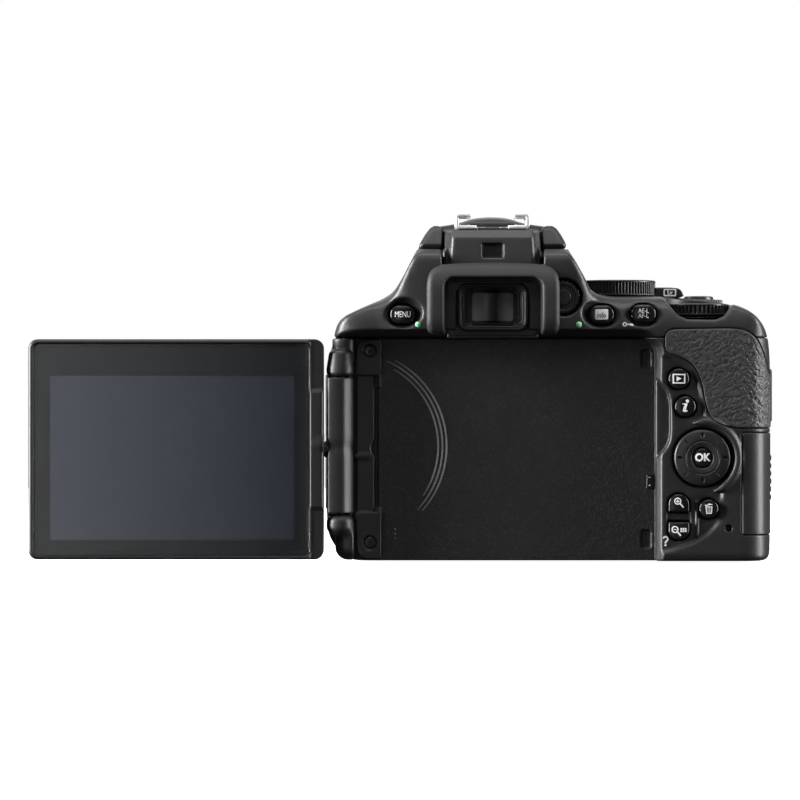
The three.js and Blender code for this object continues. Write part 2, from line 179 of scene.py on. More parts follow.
def ellipsoid(g, centre, radii):
    scaled = np.sqrt(
        ((g.x - centre[0]) / radii[0]) ** 2 + ((g.y - centre[1]) / radii[1]) ** 2
        + ((g.z - centre[2]) / radii[2]) ** 2)
    return (scaled - 1) * min(radii)


def sample(values, index):
    """Trilinear value of a field at fractional grid positions."""
    base = np.clip(np.floor(index).astype(int), 0, np.array(values.shape) - 2)
    t = index - base
    result = 0
    for corner in range(8):
        step = [(corner >> axis) & 1 for axis in range(3)]
        weight = 1
        for axis in range(3):
            weight = weight * (t[:, axis] if step[axis] else 1 - t[:, axis])
        i, j, k = (base[:, axis] + step[axis] for axis in range(3))
        result = result + weight * values[i, j, k]
    return result


def field_normals(values, index):
    """Outward directions of a field at fractional grid positions."""
    reach = 0.6
    parts = []
    for axis in range(3):
        offset = np.zeros(3)
        offset[axis] = reach
        parts.append(sample(values, index + offset) - sample(values, index - offset))
    normals = np.stack(parts, axis=1)
    return normals / np.maximum(np.linalg.norm(normals, axis=1, keepdims=True), 1e-9)


def settle(work, mesh):
    """Ends the building of a mesh, with its faces turned outwards."""
    bmesh.ops.recalc_face_normals(work, faces=work.faces)
    work.to_mesh(mesh)
    work.free()


def link(name, mesh):
    piece = bpy.data.objects.new(name, mesh)
    bpy.context.collection.objects.link(piece)
    return piece


def solid(name, work):
    """Ends the building of a new piece."""
    mesh = bpy.data.meshes.new(name)
    settle(work, mesh)
    return link(name, mesh)


def join_loops(work, first, second):
    """A band of faces between two closed loops of the same length."""
    for i in range(len(first)):
        j = (i + 1) % len(first)
        work.faces.new((first[i], first[j], second[j], second[i]))


def closed_tube(name, work, loops):
    """A solid piece through a row of loops, closed at both ends."""
    for first, second in zip(loops, loops[1:]):
        join_loops(work, first, second)
    work.faces.new(loops[0])
    work.faces.new(loops[-1])
    return solid(name, work)


def mesh_from_field(name, g, field, flat=0.015):
    """Turns a field into a closed mesh object in metres, shaded along the field's own slope."""
    band = 3 * g.step
    values = np.clip(np.broadcast_to(field, g.shape), -band, band).astype(np.float64)
    grid = openvdb.FloatGrid(band)
    grid.copyFromArray(values)
    points, triangles, quads = grid.convertToPolygons(0.0, flat)
    mesh = bpy.data.meshes.new(name)
    faces = [tuple(map(int, face)) for face in quads] + [tuple(map(int, face)) for face in triangles]
    mesh.from_pydata([tuple(p) for p in (points * g.step + g.low) * MM], [], faces)
    mesh.update()
    mesh.shade_smooth()
    mesh.normals_split_custom_set_from_vertices(field_normals(values, points))
    return link(name, mesh)


# ------------------------------------------------------------------ the camera's main form
PANEL = 15.0
FLOOR = 8.2
RECESS_RIGHT = -45.4
SEAM_LOW, SEAM_HIGH = 62.0, 62.14
FRONT_SEAM, BACK_SEAM = -2.15, -1.85
WALL = 2.2
LENS_Z = 39.0

PLAN = smooth_outline([
    (46.4, -24), (46.4, 8.2), (43.4, 13.2), (38, 16), (-62, 16), (-71.8, 15.9), (-75.4, 13.7),
    (-77.4, 8.6), (-78.0, 1.5), (-77.9, -14), (-76.8, -30), (-73.6, -40), (-66, -45.2), (-57, -45.4),
    (-49.5, -41), (-46.5, -31), (-42, -26.2), (-36, -25.5), (38, -27), (44.5, -26.6)])
OUTLINE = smooth_outline([
    (37.8, -1), (42, 0.8), (44.2, 4.6), (46.6, 8.2), (47.2, 13.5), (47.2, 51), (46.2, 56.6), (44.5, 59.7),
    (43.7, 64.9), (41.9, 67.6), (37.6, 69.8), (30.6, 72.9), (27.4, 75), (25.3, 78.2), (21.7, 85.2),
    (19.3, 90.2), (16.8, 93.5), (13, 94.1), (9, 94.8), (5, 96.6), (0, 97.4), (-5, 96.6), (-9, 94.8),
    (-13.4, 94.1), (-17.4, 93.5),
    (-19.7, 90.2), (-21.5, 85.8), (-23.7, 82), (-25.8, 78.4), (-27.8, 74.6), (-34, 74.5), (-48.5, 74.4),
    (-60.4, 72.9), (-65.6, 71.9), (-70.1, 70.3), (-73.1, 68.3), (-76.0, 64.9), (-78.0, 60), (-78.9, 54),
    (-78.9, 3.4), (-77.9, 0.7), (-75.6, -1)], 1)
TRUNK = smooth_outline([
    (-47.5, -0.2), (17.4, -0.2), (17.4, 30), (17.2, 62), (16.6, 65.2), (15.4, 68), (13.7, 70.9),
    (10.5, 73.3), (4, 73.9), (-18, 73.9), (-34, 71.5), (-42.8, 66.8), (-47.5, 56)], 1)
HUMP = smooth_outline([
    (-38, 40), (17.3, 40), (17.3, 82), (16.9, 84.3), (15.6, 85.5), (13.2, 86.4), (11.2, 87.6),
    (10.2, 89.2), (7.0, 92), (-11, 92.2),
    (-12.5, 95.6), (-20, 97.4), (-29, 96.6), (-39.5, 91.4), (-44.6, 84), (-43, 76), (-38, 70)], 1)
HUMP_PLAN = smooth_outline([
    (-27, -28), (-21.4, -46), (21.4, -46), (27, -28), (28.4, 2), (28.2, 11), (26, 16.4), (20, 17.6),
    (-20, 17.6), (-26, 16.4), (-28.2, 11), (-28.4, 2)], 2)
PANEL_OUTLINE = smooth_outline([
    (-38, 57.0), (-38, 2.2), (-48, 3.0), (-56.5, 6.0), (-61.2, 9.4), (-62.6, 13), (-62.9, 19.4),
    (-65.9, 23.0), (-67.5, 28.7), (-66.0, 34.2), (-62.0, 37.6), (-58.3, 39.0), (-57.7, 43.5),
    (-56.4, 49.4), (-53.6, 53.8), (-49.5, 56.2)], 2)
THUMB_DIP = smooth_outline([
    (-43, 51.6), (-46, 50.4), (-49.4, 46), (-49.4, 33), (-46, 28.8), (-43, 27.6)], 2)
SCOOP = smooth_outline([
    (-46.6, 76), (-48.6, 71.6), (-52.3, 67.2), (-63.4, 67), (-66.4, 70.6), (-68, 76)], 1)

SMALL_BUTTONS = {
    "playback_button": (-51.6, 50.6, 2.8), "quick_menu_button": (-53.4, 42.9, 2.8),
    "delete_button": (-59.9, 14.5, 2.6)}
BROW_BUTTONS = {
    "menu_button": (25.0, 68.4), "info_button": (-30.2, 68.4), "ae_lock_button": (-41.8, 68.6)}
BROW_SIZE = (6.8, 5.0)
SELECTOR = (-58.1, 28.7)
DIOPTER = (-19.5, 73.2)
MODE_DIAL = (-35.8, -8.0)
COMMAND_DIAL = (-57.7, 2.5)
RELEASE = (-59.8, -31.0)
TOP_BUTTONS = {
    "movie_button": (-50.5, -19.0, 70.2, 74.0), "exposure_button": (-66.0, -19.0, 67.4, 71.2)}
FRONT_BUTTON_X = 38.5
FRONT_BUTTONS = {
    "lens_release_button": (31, 3.6, -29.4), "function_button": (47, 2.5, -28.2),
    "flash_button": (56, 2.5, -28.2)}
ZOOM_X = -51.6
CAP_LOW, CAP_HIGH = 13.2, 16.8
CARD_LAMP = (-65.4, 9.1)
FOCUS_LAMP = (-35, 58)
HDMI_HEIGHTS = (38.2, 53.7)
HINGE_AXIS = (42.4, 12.4)
SHAFT_AXIS = (12.4, 31.0)
FLASH_PIVOT = (5.0, 90.0)
ARM_END = 5.0
ARM_BASE = 86.9


def flash_field(g, grow):
    """The pop-up flash: a head in front of the shoe and two arms beside it, round about their pivot."""
    front = outline_distance(g.x, g.z, OUTLINE)
    nose = outline_distance(g.y, g.z, HUMP)
    crown = meet(meet(nose, front, 1.6), outline_distance(g.x, g.y, HUMP_PLAN), 3)
    head = meet(crown, np.maximum(g.y + 12.3, 83.8 - g.z) - grow, 0.4)
    slope = (g.y - 9.8) * 0.85 + (g.z - 87.8) * 0.53
    round_end = common(circle(g.y, g.z, *FLASH_PIVOT, ARM_END), slope, ARM_BASE - g.z)
    bar = np.maximum(ARM_BASE - g.z, slab(g.y, -20, FLASH_PIVOT[0]))
    arm = np.maximum(np.minimum(round_end, bar), 14.1 - np.abs(g.x)) - grow
    crest = np.maximum(g.z - 93.4, front)
    return np.minimum(head, meet(arm, crest, 1.3))


def trunk_and_hump(g):
    """The body and its hump, before anything is cut."""
    front = outline_distance(g.x, g.z, OUTLINE)
    trunk = meet(outline_distance(g.x, g.y, PLAN), outline_distance(g.y, g.z, TRUNK), 1.8)
    hump = meet(outline_distance(g.y, g.z, HUMP), outline_distance(g.x, g.y, HUMP_PLAN), 3)
    return meet(blend(trunk, hump, 6), front, 1.6)


def shoe_block(g):
    """The raised block between the flash's arms that carries the shoe."""
    block_side = outline_distance(g.y, g.z, [
        (-11.6, 80), (14.9, 80), (14.5, 84), (13.5, 89.9), (13.0, 90.3), (11.4, 92.1), (-11.6, 92.1)])
    taper = np.clip(g.z - 82, 0, 12) * 0.12
    block_sides = np.abs(g.x) - 12.5 + taper
    block_corner = (np.abs(g.x) - 11.6 + taper) * 0.77 + (g.y - 14.6 + taper * 0.9) * 0.64
    return meet(np.maximum(block_side, block_sides), block_corner, 0.3)


def flash_cuts(form, g):
    """The flash's bay, the gaps beside the shoe's block and the room that the arms turn in."""
    bay = common(np.abs(g.x) - 13.4, 80.6 - g.z, 12.3 - g.y)
    form = np.minimum(carve(form, bay, 0.2), shoe_block(g))
    gap = common(slab(np.abs(g.x), 13.3, 14.2), 82.4 - g.z, 3 - g.y)
    form = carve(form, gap, 0.3)
    form = carve(form, flash_field(g, 0.3), 0.3)
    beside = 13.75 - np.abs(g.x)
    above = np.maximum(ARM_BASE - 0.22 - g.z, -13 - g.y)
    sweep = np.minimum(above, circle(g.y, g.z, *FLASH_PIVOT, ARM_END + 0.3))
    form = carve(form, np.maximum(sweep, beside), 0.15)
    return pocketed(form, g, (0, 86.2, 5.9, 4.0, 0.3), 12.4, 0.25)


def screen_cuts(form, g):
    """The raised panel's edge, the screen's recess, the hinge's bed and the thumb's dip."""
    panel = outline_distance(g.x, g.z, PANEL_OUTLINE)
    pocket = np.maximum(PANEL - g.y, (panel - (g.y - PANEL) * 1.05) * 0.69)
    form = carve(form, pocket, 0.15)
    recess = np.maximum(
        facing(g, (RECESS_RIGHT + 70) / 2, 21.2, 70 - RECESS_RIGHT, 82.4, 5.2), FLOOR - g.y)
    recess = recess - np.clip((g.y - 12.3) * 0.62, 0, 2.0) * 0.86
    form = carve(form, recess, 0.5)
    for z in (5.9, 56.1):
        form = pocketed(form, g, (-42.9, z, 2.7, 5.0, 0.8), FLOOR - 0.6, 0.12)
    form = bored(form, g, *CARD_LAMP, 0.95, 14.6, 0.25)
    bed = np.maximum(slab(g.x, 30.9, 39.4), slab(g.z, 0.3, 61.8))
    bed = np.maximum(bed, np.minimum(31.9 - g.x, -slab(g.z, 13.3, 51.4)))
    form = carve(form, np.maximum(bed, FLOOR - 1.3 - g.y), 0.1)
    channel = np.maximum(circle(g.x, g.y, *HINGE_AXIS, 4.7), slab(g.z, 0.9, 61.6))
    form = carve(form, channel, 0.3)
    dip = np.maximum(outline_distance(g.x, g.z, THUMB_DIP), 10.6 - g.y)
    return carve(form, dip, 0.7)


def rear_cuts(form, g):
    """The selector's ridge, and the wells of the buttons on the panel."""
    reach = (SELECTOR[0] - g.x) * 0.95 + (g.z - SELECTOR[1]) * 0.3
    brink = np.sqrt(circle(g.x, g.z, *SELECTOR, 10.0) ** 2 + (g.y - 15.8) ** 2)
    form = blend(form, brink - 1.15 * np.clip(reach / 5 + 0.35, 0, 1), 0.7)
    form = bored(form, g, *SELECTOR, 8.35, 12, 0.4)
    for x, z, radius in SMALL_BUTTONS.values():
        form = carve_soft(form, ellipsoid(g, (x, 16.0, z), (radius + 2.2, 1.35, radius + 2.2)), 0.6)
        form = bored(form, g, x, z, radius + 0.4, 12, 0.35)
    form = pocketed(form, g, (ZOOM_X, 12.25, 6.5, 13.4, 3.0), CAP_LOW, 0.3)
    bridge = np.maximum(facing(g, ZOOM_X, 12.3, 6.2, 1.9, 0.2), slab(g.y, 12, 14.7))
    form = np.minimum(form, bridge)
    rib = capsule(g, (-56.7, 15.0, 16.4), (-56.7, 15.0, 6.9), 0.42)
    return blend(form, rib, 0.3)


def brow_cuts(form, g):
    """The wells above the screen, for three buttons, the diopter wheel and the eyepiece."""
    for x, z in BROW_BUTTONS.values():
        dish = ellipsoid(g, (x, 16.6, z + 0.5), (5.5, 3.9, 4.3))
        form = carve_soft(form, dish, 0.7)
        form = pocketed(form, g, (x, z, BROW_SIZE[0] + 0.9, BROW_SIZE[1] + 0.9, 2.9), 11, 0.4)
    form = bored(form, g, *DIOPTER, 5.3, 11.5, 0.5)
    return pocketed(form, g, (0, 70.4, 20, 13.6, 1.5), 5, 0.3)


def top_cuts(form, g):
    """The wells of the dials and buttons on the top, and of the buttons on the front."""
    scoop = np.maximum(outline_distance(g.x, g.z, SCOOP), COMMAND_DIAL[1] - g.y)
    scoop = np.minimum(scoop, np.maximum(circle(g.x, g.y, *COMMAND_DIAL, 9.0), 67.8 - g.z))
    form = carve(form, scoop, 0.9)
    form = drilled(form, g, *MODE_DIAL, 10.95, 73.2, 0.4)
    form = drilled(form, g, *RELEASE, 7.9, 70.9, 0.4)
    form = drilled(form, g, *RELEASE, 4.7, 60, 0.2)
    for x, y, _, _ in TOP_BUTTONS.values():
        form = drilled(form, g, x, y, 2.5 + 0.35, 66, 0.3)
    for z, radius, _ in FRONT_BUTTONS.values():
        well = np.maximum(circle(g.x, g.z, FRONT_BUTTON_X, z, radius + 0.35), g.y + 21)
        form = carve(form, well, 0.4)
    return form


def shaped_body(g):
    """The whole outside of the camera, before it is parted into its covers."""
    form = trunk_and_hump(g)
    for cuts in (flash_cuts, screen_cuts, rear_cuts, brow_cuts, top_cuts):
        form = cuts(form, g)
    return form


def hollow(form, g):
    """Leaves only the walls and opens the base for its plate."""
    shell = np.maximum(form, -(form + WALL))
    inside_walls = outline_distance(g.x, g.y, PLAN) + 2.1
    base = common(inside_walls, g.z - 3, slab(g.x, -73.5, 36.5), g.y - 5.2)
    return np.maximum(shell, -base)


# ------------------------------------------------------------------ materials
def feed(node, **values):
    """Sets sockets by name; an underscore stands for a space."""
    for socket, value in values.items():
        node.inputs[socket.replace("_", " ")].default_value = value


class Finish:
    """A Principled material whose detail comes from noise in the piece's own coordinates."""

    def __init__(self, name, slot, tone, roughness, metallic=0.0, **sockets):
        self.slot = slot
        self.material = bpy.data.materials.new(name)
        self.material.use_nodes = True
        self.tree = self.material.node_tree
        self.shader = self.tree.nodes["Principled BSDF"]
        self.place = self.tree.nodes.new("ShaderNodeTexCoord").outputs["Object"]
        self.tone = tone
        feed(self.shader, Base_Color=(*tone, 1), Roughness=roughness, Metallic=metallic, **sockets)
        self.colour = None
        self.material.diffuse_color = (*tone, 1)

    def link(self, source, target):
        self.tree.links.new(source, target)

    def node(self, kind, **settings):
        made = self.tree.nodes.new(kind)
        for key, value in settings.items():
            setattr(made, key, value)
        return made

    def noise(self, size_mm, detail=2.0, roughness=0.5):
        made = self.node("ShaderNodeTexNoise")
        feed(made, Scale=1 / (size_mm * MM), Detail=detail, Roughness=roughness)
        self.link(self.place, made.inputs["Vector"])
        return made.outputs["Fac"]

    def spread(self, value, low, high, to_low=0.0, to_high=1.0):
        made = self.node("ShaderNodeMapRange")
        feed(made, From_Min=low, From_Max=high, To_Min=to_low, To_Max=to_high)
        self.link(value, made.inputs["Value"])
        return made.outputs["Result"]

    def tint(self, factor, light):
        """Mixes the colour so far towards a lighter or darker one."""
        made = self.node("ShaderNodeMix", data_type="RGBA")
        self.link(factor, made.inputs[0])
        if self.colour is None:
            made.inputs[6].default_value = (*self.tone, 1)
        else:
            self.link(self.colour, made.inputs[6])
        made.inputs[7].default_value = (*light, 1)
        self.colour = made.outputs[2]
        self.link(self.colour, self.shader.inputs["Base Color"])
        return self

    def bump(self, height, depth_mm):
        made = self.node("ShaderNodeBump")
        feed(made, Strength=1.0, Distance=depth_mm * MM)
        self.link(height, made.inputs["Height"])
        self.link(made.outputs["Normal"], self.shader.inputs["Normal"])
        return self

    def vary_roughness(self, value, low, high):
        self.link(self.spread(value, 0.3, 0.7, low, high), self.shader.inputs["Roughness"])
        return self


def grained(name, slot, tone, roughness, fine_mm, depth_mm, fleck=1.9, **sockets):
    """Moulded plastic with a spark-eroded grain."""
    finish = Finish(name, slot, tone, roughness, **sockets)
    grain = finish.noise(fine_mm, 2.0, 0.6)
    light = tuple(c * fleck + 0.002 for c in tone)
    finish.tint(finish.spread(grain, 0.52, 0.68, 0, 0.8), light)
    finish.tint(finish.spread(finish.noise(9, 2), 0.35, 0.75, 0, 0.35), tuple(c * 0.7 for c in tone))
    finish.bump(grain, depth_mm)
    finish.vary_roughness(grain, roughness - 0.07, roughness + 0.08)
    return finish


def smooth_gloss(name, slot, tone, roughness, **sockets):
    """Smooth plastic or metal with faint haze and cast ripples."""
    finish = Finish(name, slot, tone, roughness, **sockets)
    haze = finish.noise(1.6, 3.0)
    finish.tint(finish.spread(haze, 0.4, 0.7, 0, 0.5), tuple(min(1, c * 1.25 + 0.001) for c in tone))
    finish.vary_roughness(haze, max(0.02, roughness - 0.04), roughness + 0.05)
    finish.bump(finish.noise(2.5, 1.0), 0.008)
    return finish


CASING = grained("casing_plastic", "casing", (0.0125, 0.0128, 0.0137), 0.45, 0.26, 0.022)
RECESS = grained("recess_plastic", "dark_casing", (0.0085, 0.0085, 0.009), 0.4, 0.42, 0.2, 3.4)
ARC = grained("worn_ridge_plastic", "casing", (0.16, 0.162, 0.166), 0.38, 0.3, 0.01)
DARK = grained("dark_plastic", "dark_casing", (0.009, 0.009, 0.0098), 0.42, 0.22, 0.012)
RUBBER = grained("soft_rubber", "rubber", (0.0095, 0.0097, 0.0104), 0.62, 0.2, 0.02)
GLOSS = smooth_gloss("gloss_black_plastic", "gloss_black", (0.007, 0.007, 0.0075), 0.2)
SATIN = smooth_gloss("satin_black_plastic", "gloss_black", (0.013, 0.0131, 0.014), 0.34)
CHROME = smooth_gloss("bright_metal", "chrome", (0.72, 0.72, 0.73), 0.36, metallic=0.45)
STEEL = smooth_gloss("pin_steel", "steel", (0.42, 0.43, 0.45), 0.3, metallic=1.0)
SCREW = smooth_gloss("black_screw_metal", "steel", (0.06, 0.06, 0.065), 0.33, metallic=0.9)
MIRROR = smooth_gloss("mirror_glass", "mirror", (0.86, 0.88, 0.9), 0.04, metallic=1.0)
INK = smooth_gloss("white_ink", "gloss_black", (0.86, 0.87, 0.88), 0.45)
GREEN = smooth_gloss("green_lamp", "clear", (0.25, 0.60, 0.33), 0.35)


def leather_finish():
    finish = Finish("leather_rubber", "rubber", (0.042, 0.0424, 0.044), 0.5)
    warp = finish.node("ShaderNodeTexVoronoi", feature="SMOOTH_F1")
    feed(warp, Scale=1 / (1.7 * MM))
    finish.link(finish.place, warp.inputs["Vector"])
    grain = finish.noise(0.25, 2.0)
    finish.tint(finish.spread(warp.outputs["Distance"], 0.2, 0.75, 0, 0.6), (0.012, 0.012, 0.0127))
    finish.bump(grain, 0.03)
    finish.vary_roughness(grain, 0.45, 0.6)
    return finish


LEATHER = leather_finish()


def clear_finish(name, slot, tone, roughness):
    finish = Finish(name, slot, tone, roughness, Transmission_Weight=1.0, IOR=1.5)
    haze = finish.noise(3, 2.0)
    finish.tint(finish.spread(haze, 0.3, 0.8, 0, 0.3), tuple(c * 0.97 for c in tone))
    return finish


CLEAR = clear_finish("clear_optic", "clear", (0.9, 0.92, 0.94), 0.02)
BOARD = grained("green_board", "circuit_board", (0.01, 0.07, 0.03), 0.45, 0.5, 0.02)
ELECTRONICS = grained("module_metal", "electronics", (0.12, 0.13, 0.14), 0.4, 0.6, 0.01, metallic=0.4)
CONTACT = smooth_gloss("contact_metal", "contact_plate", (0.65, 0.5, 0.22), 0.25, metallic=1.0)
CARD = grained("card_plastic", "card_plastic", (0.015, 0.02, 0.05), 0.5, 0.5, 0.01)
BATTERY = grained("battery_case", "battery_case", (0.03, 0.03, 0.032), 0.5, 0.4, 0.015)

BY_SLOT = {
    "casing": CASING, "dark_casing": DARK, "rubber": RUBBER, "gloss_black": SATIN, "chrome": CHROME,
    "steel": STEEL, "clear": CLEAR, "mirror": MIRROR, "electronics": ELECTRONICS,
    "circuit_board": BOARD, "contact_plate": CONTACT, "card_plastic": CARD, "battery_case": BATTERY}


def dress(piece, finish, body=ROOT, stands_for=()):
    """Gives a new piece its finish and the body it moves with, and hides the CAD nodes that it stands for.
    """
    piece.data.materials.clear()
    piece.data.materials.append(finish.material)
    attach(piece, body)
    if stands_for:
        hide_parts(*stands_for)
    return piece


def cast(name, g, field, finish, body=ROOT, stands_for=(), flat=0.015):
    """Meshes a field as a dressed piece."""
    return dress(mesh_from_field(name, g, field, flat), finish, body, stands_for)


def add_finish(piece, finish, chosen):
    """Gives the faces whose middle passes the test a second finish."""
    piece.data.materials.append(finish.material)
    index = len(piece.data.materials) - 1
    for face in piece.data.polygons:
        if chosen(face.center / MM, face.normal):
            face.material_index = index
    return piece


# ------------------------------------------------------------------ covers
CARD_BOX = ((-90, -69.2), (-1.5, 30), (7.3, 35.6))
CARD_HINGE = (-75.6, 0.5)


def box_field(g, spans, radius=0.0):
    (x0, x1), (y0, y1), (z0, z1) = spans
    return meet(meet(slab(g.x, x0, x1), slab(g.y, y0, y1), radius), slab(g.z, z0, z1), radius)


THUMB_OUTLINE = smooth_outline([
    (-48.2, 57.6), (-47.6, 61), (-48.3, 64.3), (-68, 64.6), (-71.8, 63.3), (-74.4, 60), (-76.1, 55.4),
    (-77.0, 51.6), (-81, 50), (-81, 37), (-66.2, 36.9),
    (-61.3, 38.8), (-59.4, 42), (-58, 50.2), (-55.7, 54.8), (-51.6, 57.1)], 2)


def thumb_field(g, form, grow):
    """The leather pad's place on the rear: inside its outline and behind the card slot."""
    area = np.maximum(outline_distance(g.x, g.z, THUMB_OUTLINE), -1.5 - g.y) - grow
    return np.maximum(area, -(form + 0.85 + grow))


def heel_room(g):
    """The space that the card door's hinge edge turns through."""
    sweep = np.maximum(circle(g.x, g.y, *CARD_HINGE, 3.3), g.y - CARD_HINGE[1] - 1.6)
    return np.maximum(sweep, slab(g.z, 7.1, 35.8))


def rear_cover():
    g = Grid((-78.6, -2, -0.6), (47, 17.2, 62.5), 0.32)
    form = shaped_body(g)
    cover = hollow(form, g)
    cover = meet(cover, g.z - SEAM_LOW, 0.08)
    cover = meet(cover, BACK_SEAM - g.y, 0.2)
    door = np.maximum(box_field(g, CARD_BOX, 0.5) - 0.14, -(form + 1.75))
    cover = carve(cover, door, 0.15)
    cover = np.maximum(cover, -heel_room(g))
    cover = carve(cover, thumb_field(g, form, 0.12), 0.12)
    piece = cast("rear_cover_shell", g, cover, CASING, ROOT, ["rear_cover"])
    return add_finish(
        piece, RECESS, lambda p, n: p.x > RECESS_RIGHT - 0.2 and p.y < 8.9 and p.y > 4.4 and n.y > 0.3)


def top_cover():
    g = Grid((-78.6, -46.5, 60.4), (47, 17.2, 96), 0.4)
    form = shaped_body(g)
    cover = hollow(form, g)
    cover = meet(cover, SEAM_HIGH - g.z, 0.08)
    lap = common(form + WALL + 0.15, -(form + WALL + 1.3), slab(g.z, 60.6, SEAM_HIGH + 1.5))
    cover = np.minimum(cover, lap)
    cover = carve(cover, thumb_field(g, form, 0.12), 0.12)
    collar = np.maximum(circle(g.x, g.z, 0, LENS_Z, 34.3), g.y + 38.1)
    cover = carve(cover, collar, 0.2)
    return cast("top_cover_shell", g, cover, CASING, ROOT, ["top_cover"])


rear_cover()
top_cover()


def lumps(g, sizes, turn, seed):
    """Smooth random lumps between 0 and 1, longer one way than the others."""
    lattice = np.random.default_rng(seed).random((32, 32, 32)).astype(np.float32)
    along = (g.x * math.cos(turn) + g.z * math.sin(turn)) / sizes[0] + 0 * g.y
    across = (g.z * math.cos(turn) - g.x * math.sin(turn)) / sizes[1] + 0 * g.y
    deep = g.y / sizes[2] + 0 * g.x + 0 * g.z
    result = 0
    parts = []
    for value in (along, across, deep):
        base = np.floor(value)
        t = value - base
        parts.append((base.astype(np.int32), t * t * (3 - 2 * t)))
    for corner in range(8):
        weight = 1
        places = []
        for axis, (base, t) in enumerate(parts):
            on = (corner >> axis) & 1
            weight = weight * (t if on else 1 - t)
            places.append((base + on) & 31)
        result = result + weight * lattice[tuple(places)]
    return result


def leather_relief(g, seed):
    """Height of pressed leather: rounded cells between fine creases, in millimetres."""
    coarse = np.abs(lumps(g, (1.15, 0.62, 0.85), math.radians(-38), seed) - 0.5)
    fine = np.abs(lumps(g, (0.7, 0.42, 0.55), math.radians(-25), seed + 1) - 0.5)
    return 0.4 * np.minimum(coarse * 3.2, 0.62) + 0.26 * np.minimum(fine * 3, 0.6)


def leather_pad(g, area, proud, edge, depth, seed):
    """A leather skin over the camera's form, within an area."""
    form = shaped_body(g)
    skin = meet(form - proud, area, edge)
    skin = skin + (0.3 - leather_relief(g, seed)) * np.clip(-area / 0.9, 0, 1)
    return np.maximum(skin, -(form + depth))


def thumb_rest():
    g = Grid((-78.9, -2, 36), (-46, 16.8, 65), 0.25)
    area = np.maximum(outline_distance(g.x, g.z, THUMB_OUTLINE), -1.4 - g.y)
    pad = leather_pad(g, area, 0.22, 0.4, 0.8, 5)
    return cast("thumb_rest_pad", g, pad, LEATHER, ROOT, ["thumb_rest"], flat=0.0)


def card_door():
    g = Grid((-79.2, -2, 6.8), (-68, 16.2, 36.2), 0.25)
    form = shaped_body(g)
    body = meet(form - 0.12, box_field(g, CARD_BOX, 0.5), 0.25)
    body = np.maximum(body, -(form + 1.5))
    body = np.maximum(body, np.minimum(CARD_HINGE[1] - g.y, circle(g.x, g.y, *CARD_HINGE, 3.1)))
    for step in range(6):
        rib = capsule(g, (-78.6, 2.0, 17.6 + step * 2.2), (-78.4, 7.0, 17.6 + step * 2.2), 0.75)
        body = blend(body, np.maximum(rib, form - 0.5), 0.2)
    return cast("card_door_cover", g, body, CASING, "card_door", ["card_door"])


# ------------------------------------------------------------------ hinge and screen
BARREL = (13.25, 50.95)
PLATE_RIGHT, PLATE_LEFT = 31.0, 37.9
PLATE_FACE = 8.45
HINGE_SCREW_X = 34.2
HINGE_SCREW_HEIGHTS = (58.4, 5.0)


def hinge_base():
    g = Grid((30, 6.8, 0.2), (46.6, 16.4, 62), 0.22)
    axis = circle(g.x, g.y, *HINGE_AXIS, 3.8)
    upper_size = 3.8 - np.clip(g.z - 53.5, 0, 8) * 0.16
    upper = meet(axis + 3.8 - upper_size, slab(g.z, 51.3, 58.6), 1.2)
    shoulder = meet(circle(g.x, g.y, 41.3, 9.6, 3.3), slab(g.z, 55, 61.8), 0.4)
    lower = meet(axis, slab(g.z, 7.4, 12.85), 2.2)
    neck = meet(circle(g.x, g.y, 39.9, 10.2, 3.9), slab(g.z, 0.2, 10), 3.6)
    knuckles = np.minimum(blend(upper, shoulder, 0.8), blend(lower, neck, 1.8))
    knuckles = meet(knuckles, 38.6 - g.x, 0.5)
    wide = facing(g, PLATE_LEFT - 10, 31, 20, 61.2, 3.4)
    plate = meet(wide, PLATE_RIGHT - g.x, 0.4)
    plate = meet(plate, slab(g.y, 7, PLATE_FACE), 0.12)
    middle = slab(g.z, 13.4, 51.6)
    sunk = common(middle, PLATE_FACE - 0.4 - g.y, 32.2 - g.x)
    plate = carve(plate, sunk, 0.12)
    plate = carve(plate, common(slab(g.x, 31.9, 32.95), middle, 7.4 - g.y), 0.1)
    side = np.maximum(slab(g.z, 15.0, 48.1), g.x - 32.5)
    plate = carve(plate, side, 0.3)
    notch = common(circle(g.x, g.z, 31.2, 31.2, 2.6), 31.95 - g.x, 7.4 - g.y)
    plate = carve(plate, notch, 0.5)
    ridge = capsule(g, (34.8, PLATE_FACE - 1.25, 29.0), (38.2, PLATE_FACE - 1.25, 29.0), 1.1)
    plate = blend(plate, ridge, 0.6)
    for z in HINGE_SCREW_HEIGHTS:
        plate = bored(plate, g, HINGE_SCREW_X, z, 1.85, PLATE_FACE - 0.6, 0.1)
    upright = np.minimum(34 - g.x, g.z - 30)
    lip = common(wide, -wide - 0.8, upright, slab(g.y, 7.5, PLATE_FACE + 0.1))
    lip = np.maximum(lip, np.minimum(36.5 - g.x, 58 - g.z))
    for low, high in ((51.9, 61.2), (0.9, 13.1)):
        plate = np.minimum(plate, meet(lip, slab(g.z, low, high), 0.2))
    field = np.minimum(knuckles, plate)
    return cast("hinge_base_casting", g, field, CASING, ROOT, ["hinge_base"], flat=0.01)


